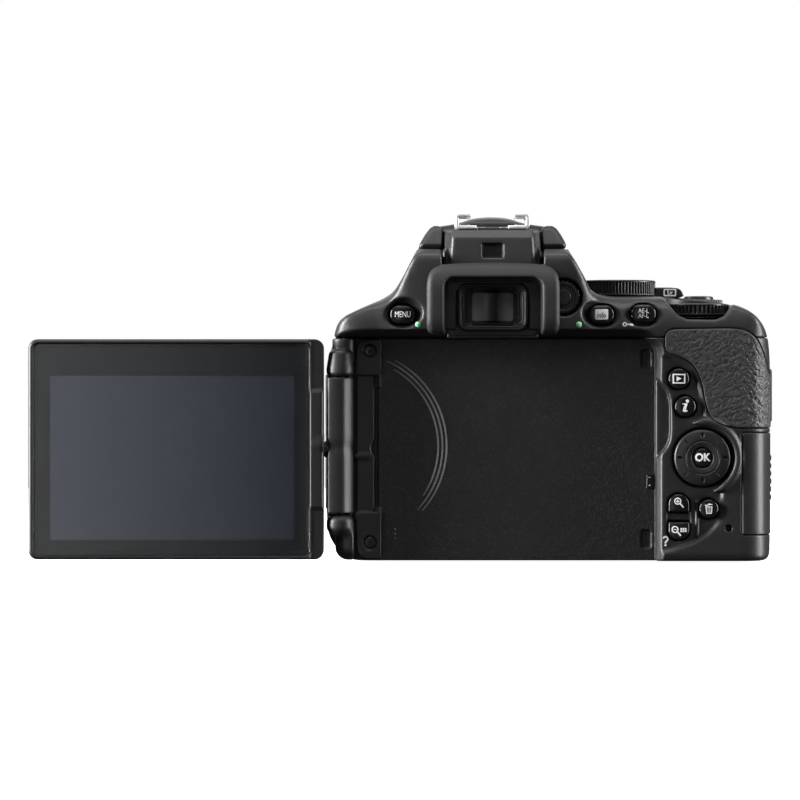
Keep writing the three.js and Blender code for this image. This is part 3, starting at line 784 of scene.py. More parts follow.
def screen_bracket():
    g = Grid((38, 8, 13), (46.6, 16.6, 51.3), 0.22)
    section = smooth_outline([
        (45.0, 8.85), (46.15, 10), (46.15, 15.2), (45.3, 16.1), (41.9, 16.1), (40.4, 15.1), (38.75, 13.2),
        (38.75, 10.6), (40.4, 8.85)], 2)
    waist = 0.28 * np.exp(-((g.z - 31.5) / 1.6) ** 2)
    barrel = outline_distance(g.x, g.y, section) + waist
    barrel = meet(barrel, slab(g.z, *BARREL), 0.35)
    socket = np.maximum(circle(g.y, g.z, *SHAFT_AXIS, 2.6), 45.3 - g.x)
    barrel = carve(barrel, socket, 0.2)
    barrel = carve(barrel, circle(g.x, g.y, *HINGE_AXIS, 1.0), 0.15)
    return cast("screen_bracket_barrel", g, barrel, CASING, "screen_arm", ["screen_bracket"], flat=0.01)


SCREEN_MIDDLE = (87.9, 31.0)
SCREEN_SIZE = (82.0, 61.2)
GLASS_MIDDLE = (89.05, 30.9)


def screen_shell():
    g = Grid((46.6, 8.4, 0.2), (129.2, 16.4, 61.8), 0.3)
    outer = facing(g, *SCREEN_MIDDLE, *SCREEN_SIZE, 2.6)
    shell = meet(outer, slab(g.y, 8.6, 16.2), 1.0)
    ends = -slab(g.z, 14.0, 48.0) * 0.45 - (g.y - 15.65)
    lowered = common(15.65 - g.y, ends, g.x - 50.8)
    shell = np.maximum(shell, -lowered)
    knob = ellipsoid(g, (47.4, 14.0, 32.6), (4.2, 2.5, 2.6))
    shell = blend(shell, np.maximum(knob, outer + 0.1), 0.8)
    shell = pocketed(shell, g, (*GLASS_MIDDLE, 76.7, 59.1, 1.6), 14.85, 0.12)
    shell = pocketed(shell, g, (89.0, 31.0, 74.6, 56.6, 0.8), 10.4, 0.1)
    hole = np.maximum(circle(g.y, g.z, *SHAFT_AXIS, 2.45), g.x - 50.4)
    shell = carve(shell, hole, 0.15)
    for z in (6.0, 56.0):
        for x in (52.0, 124.0):
            screw = np.maximum(circle(g.x, g.z, x, z, 1.3), g.y - 9.1)
            shell = carve(shell, screw, 0.15)
    return cast("screen_shell_case", g, shell, DARK, "screen", ["screen_shell"])


def panel_finish():
    finish = Finish("display_panel", "electronics", (0.13, 0.145, 0.175), 0.2, metallic=0.85)
    return finish.tint(finish.spread(finish.noise(30, 1.0), 0.4, 0.8, 0, 0.3), (0.11, 0.125, 0.155))


def plate_mesh(name, outline, low, high, bevel=0.0, axis=1):
    """A flat plate from an outline; axis is the direction of its thickness."""
    work = bmesh.new()

    def place(u, v, w):
        return [(w, u, v), (u, w, v), (u, v, w)][axis]

    rings = [(low, 0), (high, 0)]
    if bevel:
        rings = [(low, -bevel), (low + bevel, 0), (high - bevel, 0), (high, -bevel)]
    cu = sum(p[0] for p in outline) / len(outline)
    cv = sum(p[1] for p in outline) / len(outline)
    span_u = max(p[0] for p in outline) - min(p[0] for p in outline)
    span_v = max(p[1] for p in outline) - min(p[1] for p in outline)
    loops = []
    for level, inset in rings:
        ku, kv = 1 + 2 * inset / span_u, 1 + 2 * inset / span_v
        loops.append([
            work.verts.new(Vector(place(cu + (u - cu) * ku, cv + (v - cv) * kv, level)) * MM)
            for u, v in outline])
    return closed_tube(name, work, loops)


def rounded_outline(cu, cv, width, height, radius, steps=8):
    points = []
    for corner, (su, sv) in enumerate(((1, 1), (-1, 1), (-1, -1), (1, -1))):
        for i in range(steps + 1):
            angle = math.radians(90) * (corner + i / steps)
            points.append((
                cu + su * (width / 2 - radius) + radius * math.cos(angle),
                cv + sv * (height / 2 - radius) + radius * math.sin(angle)))
    return points


def screen_front():
    """The cover glass, the black mask under it and the display panel."""
    glass = plate_mesh(
        "screen_cover_glass", rounded_outline(*GLASS_MIDDLE, 76.3, 58.7, 1.4), 15.0, 16.05, 0.04)
    dress(glass, CLEAR, "screen", ["screen_glass"])
    mask_low, mask_high = (51.2, 1.9), (126.9, 59.9)
    active_low, active_high = (55.1, 5.8), (123.1, 51.4)
    work = bmesh.new()
    rings = []
    for (x0, z0), (x1, z1) in ((mask_low, mask_high), (active_low, active_high)):
        corners = ((x0, z0), (x1, z0), (x1, z1), (x0, z1))
        for y in (13.75, 14.65):
            rings.append([work.verts.new(Vector((x, y, z)) * MM) for x, z in corners])
    for first, second in ((1, 3), (0, 2), (0, 1), (2, 3)):
        join_loops(work, rings[first], rings[second])
    dress(solid("screen_mask_print", work), SATIN, "screen", ["screen_mask"])
    panel = plate_mesh("display_panel", rounded_outline(89.1, 28.6, 70, 47.6, 0.4), 13.42, 13.7, 0.05)
    dress(panel, panel_finish(), "screen")


def turned(name, profile, origin, axis, segments, rim=None):
    """A turned piece from a profile of (radius, height); rim may change a radius by its angle."""
    work = bmesh.new()
    direction = {"x": 0, "y": 1, "z": 2}[axis]
    others = [(1, 2), (2, 0), (0, 1)][direction]
    loops = []
    for radius, height in profile:
        ring = []
        for i in range(1 if radius == 0 else segments):
            angle = 2 * math.pi * i / segments
            reach = rim(radius, angle) if rim else radius
            point = list(origin)
            point[direction] += height
            point[others[0]] += reach * math.cos(angle)
            point[others[1]] += reach * math.sin(angle)
            ring.append(work.verts.new(Vector(point) * MM))
        loops.append(ring)
    for lower, upper in zip(loops, loops[1:]):
        for i in range(segments):
            j = (i + 1) % segments
            corners = [lower[i % len(lower)], lower[j % len(lower)]]
            corners += [upper[j % len(upper)], upper[i % len(upper)]]
            unique = list(dict.fromkeys(corners))
            if len(unique) > 2:
                work.faces.new(unique)
    piece = solid(name, work)
    piece.data.shade_smooth()
    piece.data.set_sharp_from_angle(angle=math.radians(35))
    return piece


def lathe(name, profile, origin, axis, segments, finish, body=ROOT, stands_for=()):
    """A turned and dressed piece."""
    return dress(turned(name, profile, origin, axis, segments), finish, body, stands_for)


def tilt_shaft():
    """The short shaft that carries the screen, and the pin of the arm's own hinge."""
    profile = [(0, 44.9)]
    steps = (
        (44.9, 46.4, 1.7), (46.4, 46.55, 1.4), (46.55, 46.75, 2.15), (46.75, 47.0, 1.9), (47.0, 50.0, 1.7))
    for start, end, radius in steps:
        profile += [(radius, start), (radius, end)]
    profile.append((0, 50.0))
    lathe("tilt_shaft_pin", profile, (0, *SHAFT_AXIS), "x", 40, SCREW, "screen_arm", ["tilt_shaft"])
    rod = [(0, 8), (0.7, 8), (0.9, 8.3), (0.9, 57.7), (0.7, 58), (0, 58)]
    lathe("swing_pin_rod", rod, (*HINGE_AXIS, 0), "z", 32, SCREW, ROOT, ["swing_pin"])


def shaft_collar():
    """The flat-sided collar seen between the arm and the screen."""
    g = Grid((45.4, 10.2, 28.4), (47.2, 14.6, 33.6), 0.12)
    ring = meet(circle(g.y, g.z, *SHAFT_AXIS, 2.35), slab(g.x, 46.05, 46.65), 0.15)
    ring = carve(ring, slab(g.z, 30.6, 31.5) + 0 * g.x, 0.1)
    ring = np.minimum(ring, np.maximum(circle(g.y, g.z, *SHAFT_AXIS, 1.7), slab(g.x, 45.9, 46.7)))
    return cast("tilt_shaft_collar", g, ring, SCREW, "screen_arm")


def phillips_screw(name, x, z, face, radius=1.5):
    """A small pan-head screw with a cross recess, its head facing the rear."""
    reach = radius + 0.3
    g = Grid((x - reach, face - 1.6, z - reach), (x + reach, face + 0.8, z + reach), 0.09)
    head = meet(circle(g.x, g.z, x, z, radius), slab(g.y, face - 1.2, face + 0.45), 0.25)
    head = meet(head, ellipsoid(g, (x, face - 3.0, z), (4.4, 3.5, 4.4)), 0.05)
    turn = math.radians(20)
    u = (g.x - x) * math.cos(turn) + (g.z - z) * math.sin(turn)
    v = (g.z - z) * math.cos(turn) - (g.x - x) * math.sin(turn)
    cross = np.minimum(
        np.maximum(np.abs(u) - 0.19, np.abs(v) - 0.85), np.maximum(np.abs(v) - 0.19, np.abs(u) - 0.85))
    head = carve(head, np.maximum(cross, face - 0.5 - g.y), 0.06)
    return cast(name, g, head, SCREW)


def floor_arcs():
    """Raised arcs left by the screen's travel."""
    centre = (39.8, 31.8)
    for number, (radius, start, end) in enumerate(((27.05, -62, 41.5), (25.9, -66, 43), (24.7, -60, 34))):
        points = []
        count = 60
        for i in range(count + 1):
            angle = math.radians(start + (end - start) * i / count)
            taper = min(1, 6 * i / count, 6 * (count - i) / count)
            points.append((angle, 0.06 + 0.07 * taper))
        work = bmesh.new()
        rows = []
        for angle, half in points:
            out = Vector((-math.cos(angle), 0, -math.sin(angle)))
            middle = Vector((centre[0], FLOOR - 0.05, centre[1])) + out * radius
            section = (
                (-2.2 * half, 0), (-half, half * 1.5), (half, half * 1.5), (2.2 * half, 0), (0, -0.4))
            rows.append([work.verts.new((middle + out * u + Vector((0, v, 0))) * MM) for u, v in section])
        dress(closed_tube(f"floor_arc_{number + 1}", work, rows), ARC)


thumb_rest()
card_door()
hinge_base()
screen_bracket()
screen_shell()
screen_front()
tilt_shaft()
shaft_collar()
for number, z in enumerate(HINGE_SCREW_HEIGHTS):
    phillips_screw(f"hinge_screw_{number + 1}", HINGE_SCREW_X, z, PLATE_FACE - 0.45)
floor_arcs()


# ------------------------------------------------------------------ buttons, dials and symbols
def domed(field, g, x, z, high, dome):
    """Rounds the rear face of a cap like a large ball."""
    ball = np.sqrt((g.x - x) ** 2 + (g.z - z) ** 2 + (g.y - high + dome) ** 2) - dome
    return meet(field, ball, 0.2)


def round_button(node, x, z, radius, low=CAP_LOW, high=CAP_HIGH, dome=14.0):
    """A domed button facing the rear."""
    g = Grid((x - radius, low, z - radius), (x + radius, high + 0.3, z + radius), 0.13)
    field = meet(circle(g.x, g.z, x, z, radius), slab(g.y, low, high), 0.55)
    return cast(node + "_cap", g, domed(field, g, x, z, high, dome), GLOSS, node, [node])


def oval_button(node, x, z, width, height, low, high):
    g = Grid((x - width / 2, low, z - height / 2), (x + width / 2, high + 0.3, z + height / 2), 0.13)
    field = facing(g, x, z, width, height, 2.35)
    field = meet(field, slab(g.y, low, high), 0.8)
    field = meet(field, ellipsoid(g, (x, high - 6, z), (8.5, 6, 7)), 0.2)
    return cast(node + "_cap", g, field, GLOSS, node, [node])


def zoom_button(node, z, round_up):
    """A half-round button; the flat sides of the two face each other."""
    x, low, high = ZOOM_X, CAP_LOW, CAP_HIGH
    g = Grid((x - 3, low, z - 3), (x + 3, high + 0.3, z + 3), 0.13)
    side = 1 if round_up else -1
    disc = circle(g.x, g.z, x, z - side * 0.35, 2.8)
    field = np.maximum(disc, side * (z - g.z) - 2.35)
    column = common(np.abs(g.x - x) - 2.8, side * (z - g.z) - 2.35, side * (g.z - z) + 0.35)
    field = meet(np.minimum(field, column), slab(g.y, low, high), 0.5)
    return cast(node + "_cap", g, domed(field, g, x, z, high, 14), GLOSS, node, [node])


def multi_selector():
    x, z = SELECTOR
    g = Grid((x - 7.9, 14.1, z - 7.9), (x + 7.9, 17.4, z + 7.9), 0.13)
    rho = np.sqrt((g.x - x) ** 2 + (g.z - z) ** 2)
    top = 17.15 - 0.5 * np.clip((rho - 4.6) / 3.2, 0, 1) ** 2 - 0.25 * np.clip((4.3 - rho) / 1.2, 0, 1)
    disc = meet(rho - 7.8, np.maximum(g.y - top, 14.2 - g.y), 0.45)
    disc = carve(disc, np.sqrt((rho - 4.6) ** 2 + (g.y - 17.2) ** 2) - 0.2, 0.1)
    disc = carve(disc, rho - 2.95 + 0 * g.y, 0.25)
    for number in range(8):
        angle = math.radians(45 * number)
        reach = (5.5, 6.7) if number % 2 else (5.8, 6.5)
        start, end = (
            (x + r * math.cos(angle), 16.95 - 0.04 * r, z + r * math.sin(angle)) for r in reach)
        disc = carve(disc, capsule(g, start, end, 0.26 if number % 2 else 0.42), 0.1)
    cast("multi_selector_disc", g, disc, SATIN, "multi_selector", ["multi_selector"])
    round_button("ok_button", x, z, 2.65, 13.0, 17.1, 9.0)


def fluted(u, v, cu, cv, teeth, depth):
    """Distance from an axis, and how deep the flutes around it are there."""
    rho = np.sqrt((u - cu) ** 2 + (v - cv) ** 2)
    angle = np.arctan2(v - cv, u - cu)
    return rho, depth * (0.5 + 0.5 * np.cos(teeth * angle)) ** 2


def knurled_dial(node, x, y, radius, low, high, teeth, depth, cap=0.0):
    """A dial whose rim has fine upright flutes, and a middle cap if it has a radius."""
    g = Grid((x - radius, y - radius, low), (x + radius, y + radius, high), 0.16)
    rho, flute = fluted(g.x, g.y, x, y, teeth, depth)
    band = np.clip(np.minimum(g.z - low - 0.35, high - 0.55 - g.z) / 0.25, 0, 1)
    field = meet((rho - radius + flute * band) * 0.8, slab(g.z, low, high), 0.4)
    field = carve(field, np.maximum(rho - (radius - 1.9), high - 0.35 - g.z), 0.15)
    if cap:
        field = np.minimum(field, meet(rho - cap, slab(g.z, low - 2.6, high - 0.1), 0.3))
    return cast(node + "_wheel", g, field, SATIN, node, [node])


def diopter_wheel():
    x, z = DIOPTER
    g = Grid((x - 5, 12.2, z - 5), (x + 5, 16.4, z + 5), 0.14)
    rho, flute = fluted(g.x, g.z, x, z, 22, 0.4)
    field = meet((rho - 4.8 + flute) * 0.8, slab(g.y, 12.4, 15.7), 0.5)
    field = carve(field, common(rho - 3.5, 2.2 - rho, 15.2 - g.y), 0.15)
    return cast("diopter_wheel", g, field, SATIN, "diopter", ["diopter_dial"])


def surface_depth(target, x, z):
    """How far to the rear the target reaches at this place, in metres."""
    hit, place = target.ray_cast(Vector((x, 0.04, z)), Vector((0, -1, 0)))[:2]
    return place.y if hit else 0.0155


def press_on(piece, target, lift=0.08):
    """Lays a thin symbol on the surface of the piece that carries it, as printing."""
    bpy.context.view_layer.update()
    work = bmesh.new()
    work.from_mesh(piece.data)
    bmesh.ops.triangulate(work, faces=work.faces)
    for _ in range(5):
        long_edges = [edge for edge in work.edges if edge.calc_length() > 0.42 * MM
                      and abs(edge.verts[0].co.y - edge.verts[1].co.y) < 0.2 * MM]
        if not long_edges:
            break
        bmesh.ops.subdivide_edges(work, edges=long_edges, cuts=1)
        bmesh.ops.triangulate(work, faces=work.faces)
    work.to_mesh(piece.data)
    work.free()
    for vertex in piece.data.vertices:
        front = vertex.co.y > 0
        depth = surface_depth(target, vertex.co.x, vertex.co.z)
        vertex.co.y = depth + (lift if front else -0.04) * MM
    piece.data.update()


def ink(name, shapes, x, z, target, body, lift=0.08):
    """Printed shapes: each is an outer outline and its holes, in millimetres right and up."""
    work = bmesh.new()
    for shape in shapes:
        loops = [[(x - right, z + up) for right, up in loop] for loop in shape]
        flat = [[Vector((u, v, 0)) for u, v in loop] for loop in loops]
        triangles = tessellate_polygon(flat)
        layers = []
        for side in (1, -1):
            layers.append([
                work.verts.new(Vector((u * MM, side * 0.001, v * MM))) for loop in loops for u, v in loop])
        for a, b, c in triangles:
            work.faces.new((layers[0][a], layers[0][b], layers[0][c]))
            work.faces.new((layers[1][c], layers[1][b], layers[1][a]))
        start = 0
        for loop in loops:
            end = start + len(loop)
            join_loops(work, layers[0][start:end], layers[1][start:end])
            start = end
    piece = solid(name, work)
    press_on(piece, target, lift)
    return printed(piece, body)


def printed(piece, body, finish=INK):
    """Gives printing its colour; it stands for no CAD node."""
    piece.data.materials.clear()
    piece.data.materials.append(finish.material)
    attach(piece, body)
    return piece


def lettering(name, lines, size, x, z, target, body, weight=0.0, squeeze=1.0, finish=INK):
    """Generic lettering laid on a surface that faces the rear."""
    curve = bpy.data.curves.new(name, "FONT")
    curve.body = "\n".join(lines)
    curve.align_x = "CENTER"
    curve.align_y = "CENTER"
    curve.size = size
    curve.space_line = 0.82
    curve.offset = weight
    curve.extrude = 0.5
    curve.resolution_u = 4
    shape = bpy.data.objects.new(name + "_curve", curve)
    bpy.context.collection.objects.link(shape)
    graph = bpy.context.evaluated_depsgraph_get()
    mesh = bpy.data.meshes.new_from_object(shape.evaluated_get(graph))
    bpy.data.objects.remove(shape)
    mesh.name = name
    for vertex in mesh.vertices:
        right, up, out = vertex.co
        vertex.co = Vector(((x - right * squeeze) * MM, out * 0.001, (z + up) * MM))
    piece = link(name, mesh)
    press_on(piece, target)
    return printed(piece, body, finish)


def arc_loop(cx, cy, radius, start=0, end=360, steps=20):
    count = steps if end - start == 360 else steps + 1
    angles = [math.radians(start + (end - start) * i / steps) for i in range(count)]
    return [(cx + radius * math.cos(angle), cy + radius * math.sin(angle)) for angle in angles]


def bar(ax, ay, bx, by, width):
    dx, dy = bx - ax, by - ay
    length = math.hypot(dx, dy)
    nx, ny = -dy / length * width / 2, dx / length * width / 2
    return [(ax + nx, ay + ny), (bx + nx, by + ny), (bx - nx, by - ny), (ax - nx, ay - ny)]


def block(cx, cy, width, height, radius=0.0):
    if radius:
        return rounded_outline(cx, cy, width, height, radius, 3)
    return [(cx - width / 2, cy - height / 2), (cx + width / 2, cy - height / 2),
            (cx + width / 2, cy + height / 2), (cx - width / 2, cy + height / 2)]


def playback_symbol():
    return [[block(0, 0, 3.5, 2.7), block(0, 0, 2.8, 2.0)], [[(-0.7, -0.7), (0.75, 0), (-0.7, 0.7)]]]


def italic_i():
    """A slanted letter i with a flag at its top and a hook at its foot."""
    stem = [(-0.95, 0.62), (-0.85, 0.85), (0.62, 0.85), (0.1, -0.95), (0.2, -1.08), (0.5, -0.95),
            (0.68, -1.12), (0.2, -1.5), (-0.35, -1.55), (-0.75, -1.25), (-0.7, -0.9), (-0.28, 0.5),
            (-0.5, 0.62)]
    return [[stem[::-1]], [arc_loop(0.52, 1.5, 0.46)]]


def magnifier(cx, cy, plus):
    shapes = [
        [arc_loop(cx, cy, 0.98), arc_loop(cx, cy, 0.68)],
        [bar(cx + 0.68, cy - 0.68, cx + 1.6, cy - 1.75, 0.42)],
        [block(cx, cy, 0.9, 0.26)]]
    if plus:
        shapes.append([block(cx, cy + 0.29, 0.26, 0.32)])
        shapes.append([block(cx, cy - 0.29, 0.26, 0.32)])
    return shapes


def zoom_out_symbol():
    shapes = magnifier(-1.1, 0.2, False)
    for column in range(3):
        for row in range(2):
            shapes.append([block(0.6 + column * 0.62, 0.35 - row * 0.62, 0.5, 0.5)])
    return shapes


def trash_symbol():
    shapes = [[bar(-1.15, 0.95, 1.0, 1.3, 0.24)], [bar(-0.2, 1.35, 0.3, 1.42, 0.24)]]
    shapes.append([[(-0.95, 0.7), (-0.75, -1.35), (0.75, -1.35), (0.95, 0.7)],
                   [(-0.66, 0.45), (0.66, 0.45), (0.5, -1.1), (-0.5, -1.1)]])
    for right in (-0.25, 0.25):
        shapes.append([block(right, -0.32, 0.17, 1.5)])
    return shapes


def help_symbol():
    hook = arc_loop(0, 0.62, 0.84, 165, -52, 20) + arc_loop(0, 0.62, 0.4, -52, 165, 20)
    stem = [(-0.22, -0.62), (-0.22, -0.1), (0.25, 0.3), (0.52, -0.04), (0.22, -0.32), (0.22, -0.62)]
    return [[hook], [stem], [arc_loop(0, -1.1, 0.29)]]


def key_symbol():
    return [
        [arc_loop(-0.9, 0, 0.62, steps=14), arc_loop(-0.9, 0, 0.32, steps=14)],
        [block(0.58, 0, 1.75, 0.28)], [block(0.85, -0.3, 0.26, 0.34)], [block(1.32, -0.3, 0.26, 0.34)]]


def rear_controls(rear, top):
    """Every button on the rear and the symbols beside them."""
    symbols = {
        "playback_button": playback_symbol(), "quick_menu_button": italic_i(),
        "delete_button": trash_symbol()}
    for node, (x, z, radius) in SMALL_BUTTONS.items():
        cap = round_button(node, x, z, radius)
        ink(node.replace("button", "mark"), symbols[node], x, z, cap, node)
    zoom_in = zoom_button("zoom_in_button", 16.1, True)
    ink("zoom_in_mark", magnifier(-0.35, 0.55, True), ZOOM_X, 16.1, zoom_in, "zoom_in_button")
    zoom_out = zoom_button("zoom_out_button", 8.4, False)
    ink("zoom_out_mark", zoom_out_symbol(), ZOOM_X, 8.6, zoom_out, "zoom_out_button")
    multi_selector()
    ok_cap = bpy.data.objects["ok_button_cap"]
    lettering("ok_mark", ["OK"], 3.0, *SELECTOR, ok_cap, "ok_button", 0.1, 0.95)
    caps = {}
    for node, (x, z) in BROW_BUTTONS.items():
        caps[node] = oval_button(node, x, z, *BROW_SIZE, 12.4, 15.9)
    lettering("menu_mark", ["MENU"], 2.35, 25.0, 68.4, caps["menu_button"], "menu_button", 0.0, 0.7)
    lettering(
        "ae_lock_mark", ["AE-L", "AF-L"], 1.75, -41.8, 68.7, caps["ae_lock_button"], "ae_lock_button",
        0.02, 0.84)
    frame_shape = [[block(0, 0.05, 3.6, 2.9, 0.35)]]
    ink("info_box", frame_shape, -30.2, 68.4, caps["info_button"], "info_button")
    letters = lettering(
        "info_mark", ["info"], 2.0, -30.2, 68.15, caps["info_button"], "info_button", 0.0, 0.86, GLOSS)
    for vertex in letters.data.vertices:
        vertex.co.y += 0.04 * MM
    ink("help_mark", help_symbol(), -47.95, 5.5, rear, ROOT, 0.14)
    ink("protect_mark", key_symbol(), -37.5, 65.7, top, ROOT)
    for name, x in (("left_green_dot", 20.7), ("right_green_dot", -23.8)):
        g = Grid((x - 1, 12, 64.6), (x + 1, 17, 66.6), 0.1)
        level = surface_depth(top, x * MM, 65.6 * MM) / MM
        field = ellipsoid(g, (x, level - 0.1, 65.6), (0.82, 0.42, 0.82))
        printed(mesh_from_field(name, g, field), ROOT, GREEN)


def live_view_lever():
    """The disc under the mode dial, with the tongue that turns it."""
    g = Grid((-54, -18, 72.5), (-26, 2, 76.6), 0.2)
    disc = meet(circle(g.x, g.y, *MODE_DIAL, 9.6), slab(g.z, 73.35, 73.85), 0.2)
    side_view = outline_distance(g.x, g.z, smooth_outline([
        (-43.5, 73.4), (-43.5, 76.4), (-52.0, 76.4), (-53.6, 75.6), (-54.4, 73.4)], 1))
    arm = meet(side_view, slab(g.y, -11.3, -4.7), 0.45)
    clear_of_dial = 10.8 - np.sqrt((g.x - MODE_DIAL[0]) ** 2 + (g.y - MODE_DIAL[1]) ** 2)
    arm = np.maximum(arm, np.minimum(clear_of_dial, g.z - 74.2))
    lever = np.minimum(disc, arm)
    lever_piece = cast("live_view_lever_arm", g, lever, SATIN, "live_view_lever", ["live_view_lever"])
    ink("live_view_frame", [[block(0, 0, 3.6, 2.1, 0.4), block(0, 0, 2.85, 1.35, 0.15)]],
        -50.2, 74.95, lever_piece, "live_view_lever")
    lettering("live_view_mark", ["Lv"], 1.55, -50.2, 74.95, lever_piece, "live_view_lever", 0.06)


def power_switch():
    """The fluted collar round the shutter button, with its tab."""
    g = Grid((-68, -41, 71), (-51.5, -23, 74), 0.2)
    rho, flute = fluted(g.x, g.y, *RELEASE, 40, 0.3)
    collar = meet(rho - 6.9 + flute, slab(g.z, 71.2, 73.4), 0.3)
    x, y = RELEASE
    tab = box_field(g, ((x - 2, x + 2), (y - 9.6, y - 6), (71.4, 72.9)), 0.5)
    collar = carve(blend(collar, tab, 0.6), rho - 4.55, 0.2)
    cast("power_switch_collar", g, collar, SATIN, "power_switch", ["power_switch"])


def top_controls():
    knurled_dial("mode_dial", *MODE_DIAL, 10.5, 73.95, 78.4, 72, 0.5, 3.2)
    knurled_dial("command_dial", *COMMAND_DIAL, 8.5, 68.3, 71.6, 44, 0.75)
    live_view_lever()
    power_switch()
    profile = [
        (0, 69.8), (4.2, 69.8), (4.3, 70), (4.3, 73.7), (4.1, 74.2), (3.6, 74.45), (2.4, 74.35),
        (1.2, 74.2), (0, 74.15)]
    lathe(
        "shutter_button_cap", profile, (*RELEASE, 0), "z", 56, SATIN, "shutter_button", ["shutter_button"])
    for node, (x, y, low, high) in TOP_BUTTONS.items():
        profile = [
            (0, low), (2.5, low), (2.5, high - 0.5), (2.3, high - 0.15), (1.8, high), (1.0, high - 0.05),
            (0, high - 0.1)]
        lathe(node + "_cap", profile, (x, y, 0), "z", 40, GLOSS, node, [node])


def front_controls():
    for node, (z, radius, low) in FRONT_BUTTONS.items():
        profile = [
            (0, -23), (radius, -23), (radius, low + 0.6), (radius - 0.2, low + 0.2), (radius - 0.7, low),
            (radius * 0.5, low + 0.12), (0, low + 0.15)]
        lathe(node + "_cap", profile, (FRONT_BUTTON_X, 0, z), "y", 40, SATIN, node, [node])


REAR_SHELL = bpy.data.objects["rear_cover_shell"]
TOP_SHELL = bpy.data.objects["top_cover_shell"]
rear_controls(REAR_SHELL, TOP_SHELL)
top_controls()
diopter_wheel()
front_controls()


# ------------------------------------------------------------------ eyepiece, shoe and flash
def eyecup():
    g = Grid((-18.7, 15.4, 60.4), (18.7, 23.8, 83.2), 0.26)
    crown = outline_distance(g.x, g.z, smooth_outline([
        (-18.4, 62.4), (-18.4, 78.5), (-16.5, 81.6), (-12, 82.6), (0, 83.1), (12, 82.6), (16.5, 81.6),
        (18.4, 78.5), (18.4, 62.4)], 2))
    side = outline_distance(g.y, g.z, smooth_outline([
        (16.3, 62.0), (21.6, 62.4), (23.6, 66), (23.6, 76), (22.4, 80), (19.4, 83.4), (16.3, 83.6)], 2))
    cup = meet(crown, side, 1.7)
    inner = facing(g, 0, 67.2, 26.4, 22, 2.4)
    slope = inner - np.clip((g.y - 18.5) * 0.1, 0, 0.6)
    cup = carve(cup, slope, 0.6)
    skirt = np.maximum(facing(g, 0, 62.55, 25.2, 1.5, 0.4), slab(g.y, 15.5, 16.18))
    cast("eyecup_rubber", g, cup, RUBBER, ROOT, ["eyecup"])
    return cast("eyepiece_lower_tab", g, skirt, DARK, ROOT)


def eyepiece_frame():
    """Nested frames stepping in towards the glass."""
    g = Grid((-13.6, 9.3, 62.2), (13.6, 19, 78.4), 0.2)
    middle = 70.4
    plate = meet(facing(g, 0, 70.2, 25.6, 15.6, 2.2), slab(g.y, 13.2, 16.6), 0.4)
    frame_field = meet(facing(g, 0, middle, 19.4, 13.0, 2.6), slab(g.y, 9.6, 18.5), 0.35)
    field = np.minimum(plate, frame_field)
    steps = ((17.6, 11.4, 2.0, 18.0), (16.2, 10.4, 1.7, 17.2), (14.8, 9.4, 1.4, 15.4))
    for width, height, radius, depth in steps:
        field = pocketed(field, g, (0, middle + 0.1, width, height, radius), depth, 0.2)
    tunnel = facing(g, 0, middle + 0.2, 12.2, 8.4, 1.2) - (g.y - 13.4) * 0.22
    field = carve(field, tunnel, 0.15)
    return cast("eyepiece_surround", g, field, SATIN, ROOT, ["eyepiece_frame"])


def eyepiece_glass():
    """A softly bulging lens."""
    g = Grid((-6.4, 10.2, 66), (6.4, 14.4, 75.2), 0.15)
    field = facing(g, 0, 70.6, 11.9, 8.1, 1.2)
    field = np.maximum(field, slab(g.y, 10.5, 13.5))
    field = meet(field, ellipsoid(g, (0, 10.0, 70.6), (7.1, 3.5, 14)), 0.1)
    # The optic's finish carries a painted reflection, lighter towards both ends.
    return cast("eyepiece_optic", g, field, EYEPIECE_PAINTED_REFLECTION, ROOT, ["eyepiece_lens"])


def shoe_rails():
    """Two bright sheet-metal channels."""
    thickness = 1.0
    for name, side in (("shoe_rail_left", 1), ("shoe_rail_right", -1)):
        g = Grid((2.5, -10.2, 92.2), (10.7, 8.9, 97.0), 0.13)
        outside = facing(g, 5.25, 94.62, 10.3, 4.36, 1.2)
        inside = facing(g, 4.7, 94.62, 11.4 - 2 * thickness, 4.36 - 2 * thickness, 0.5)
        section = carve(outside, inside, 0.05)
        lower = np.maximum(slab(g.z, 92.4, 93.4), slab(g.x, 4.4, 10.3))
        section = np.maximum(section, np.minimum(6.0 - g.x, np.maximum(lower, 4.4 - g.x)))
        rail = meet(section, slab(g.y, -10, 8.6), 0.35)
        notch = meet(rounded_rectangle(g.x, g.y, 6.0, -3.0, 1.4, 7.0, 0.6), slab(g.z, 95, 97))
        rail = carve(rail, notch, 0.1)
        piece = mesh_from_field(name, g, rail)
        if side < 0:
            piece.data.transform(Matrix.Scale(-1, 4, Vector((1, 0, 0))))
            piece.data.flip_normals()
        dress(piece, CHROME, ROOT, ["shoe_rails"] if side > 0 else ())


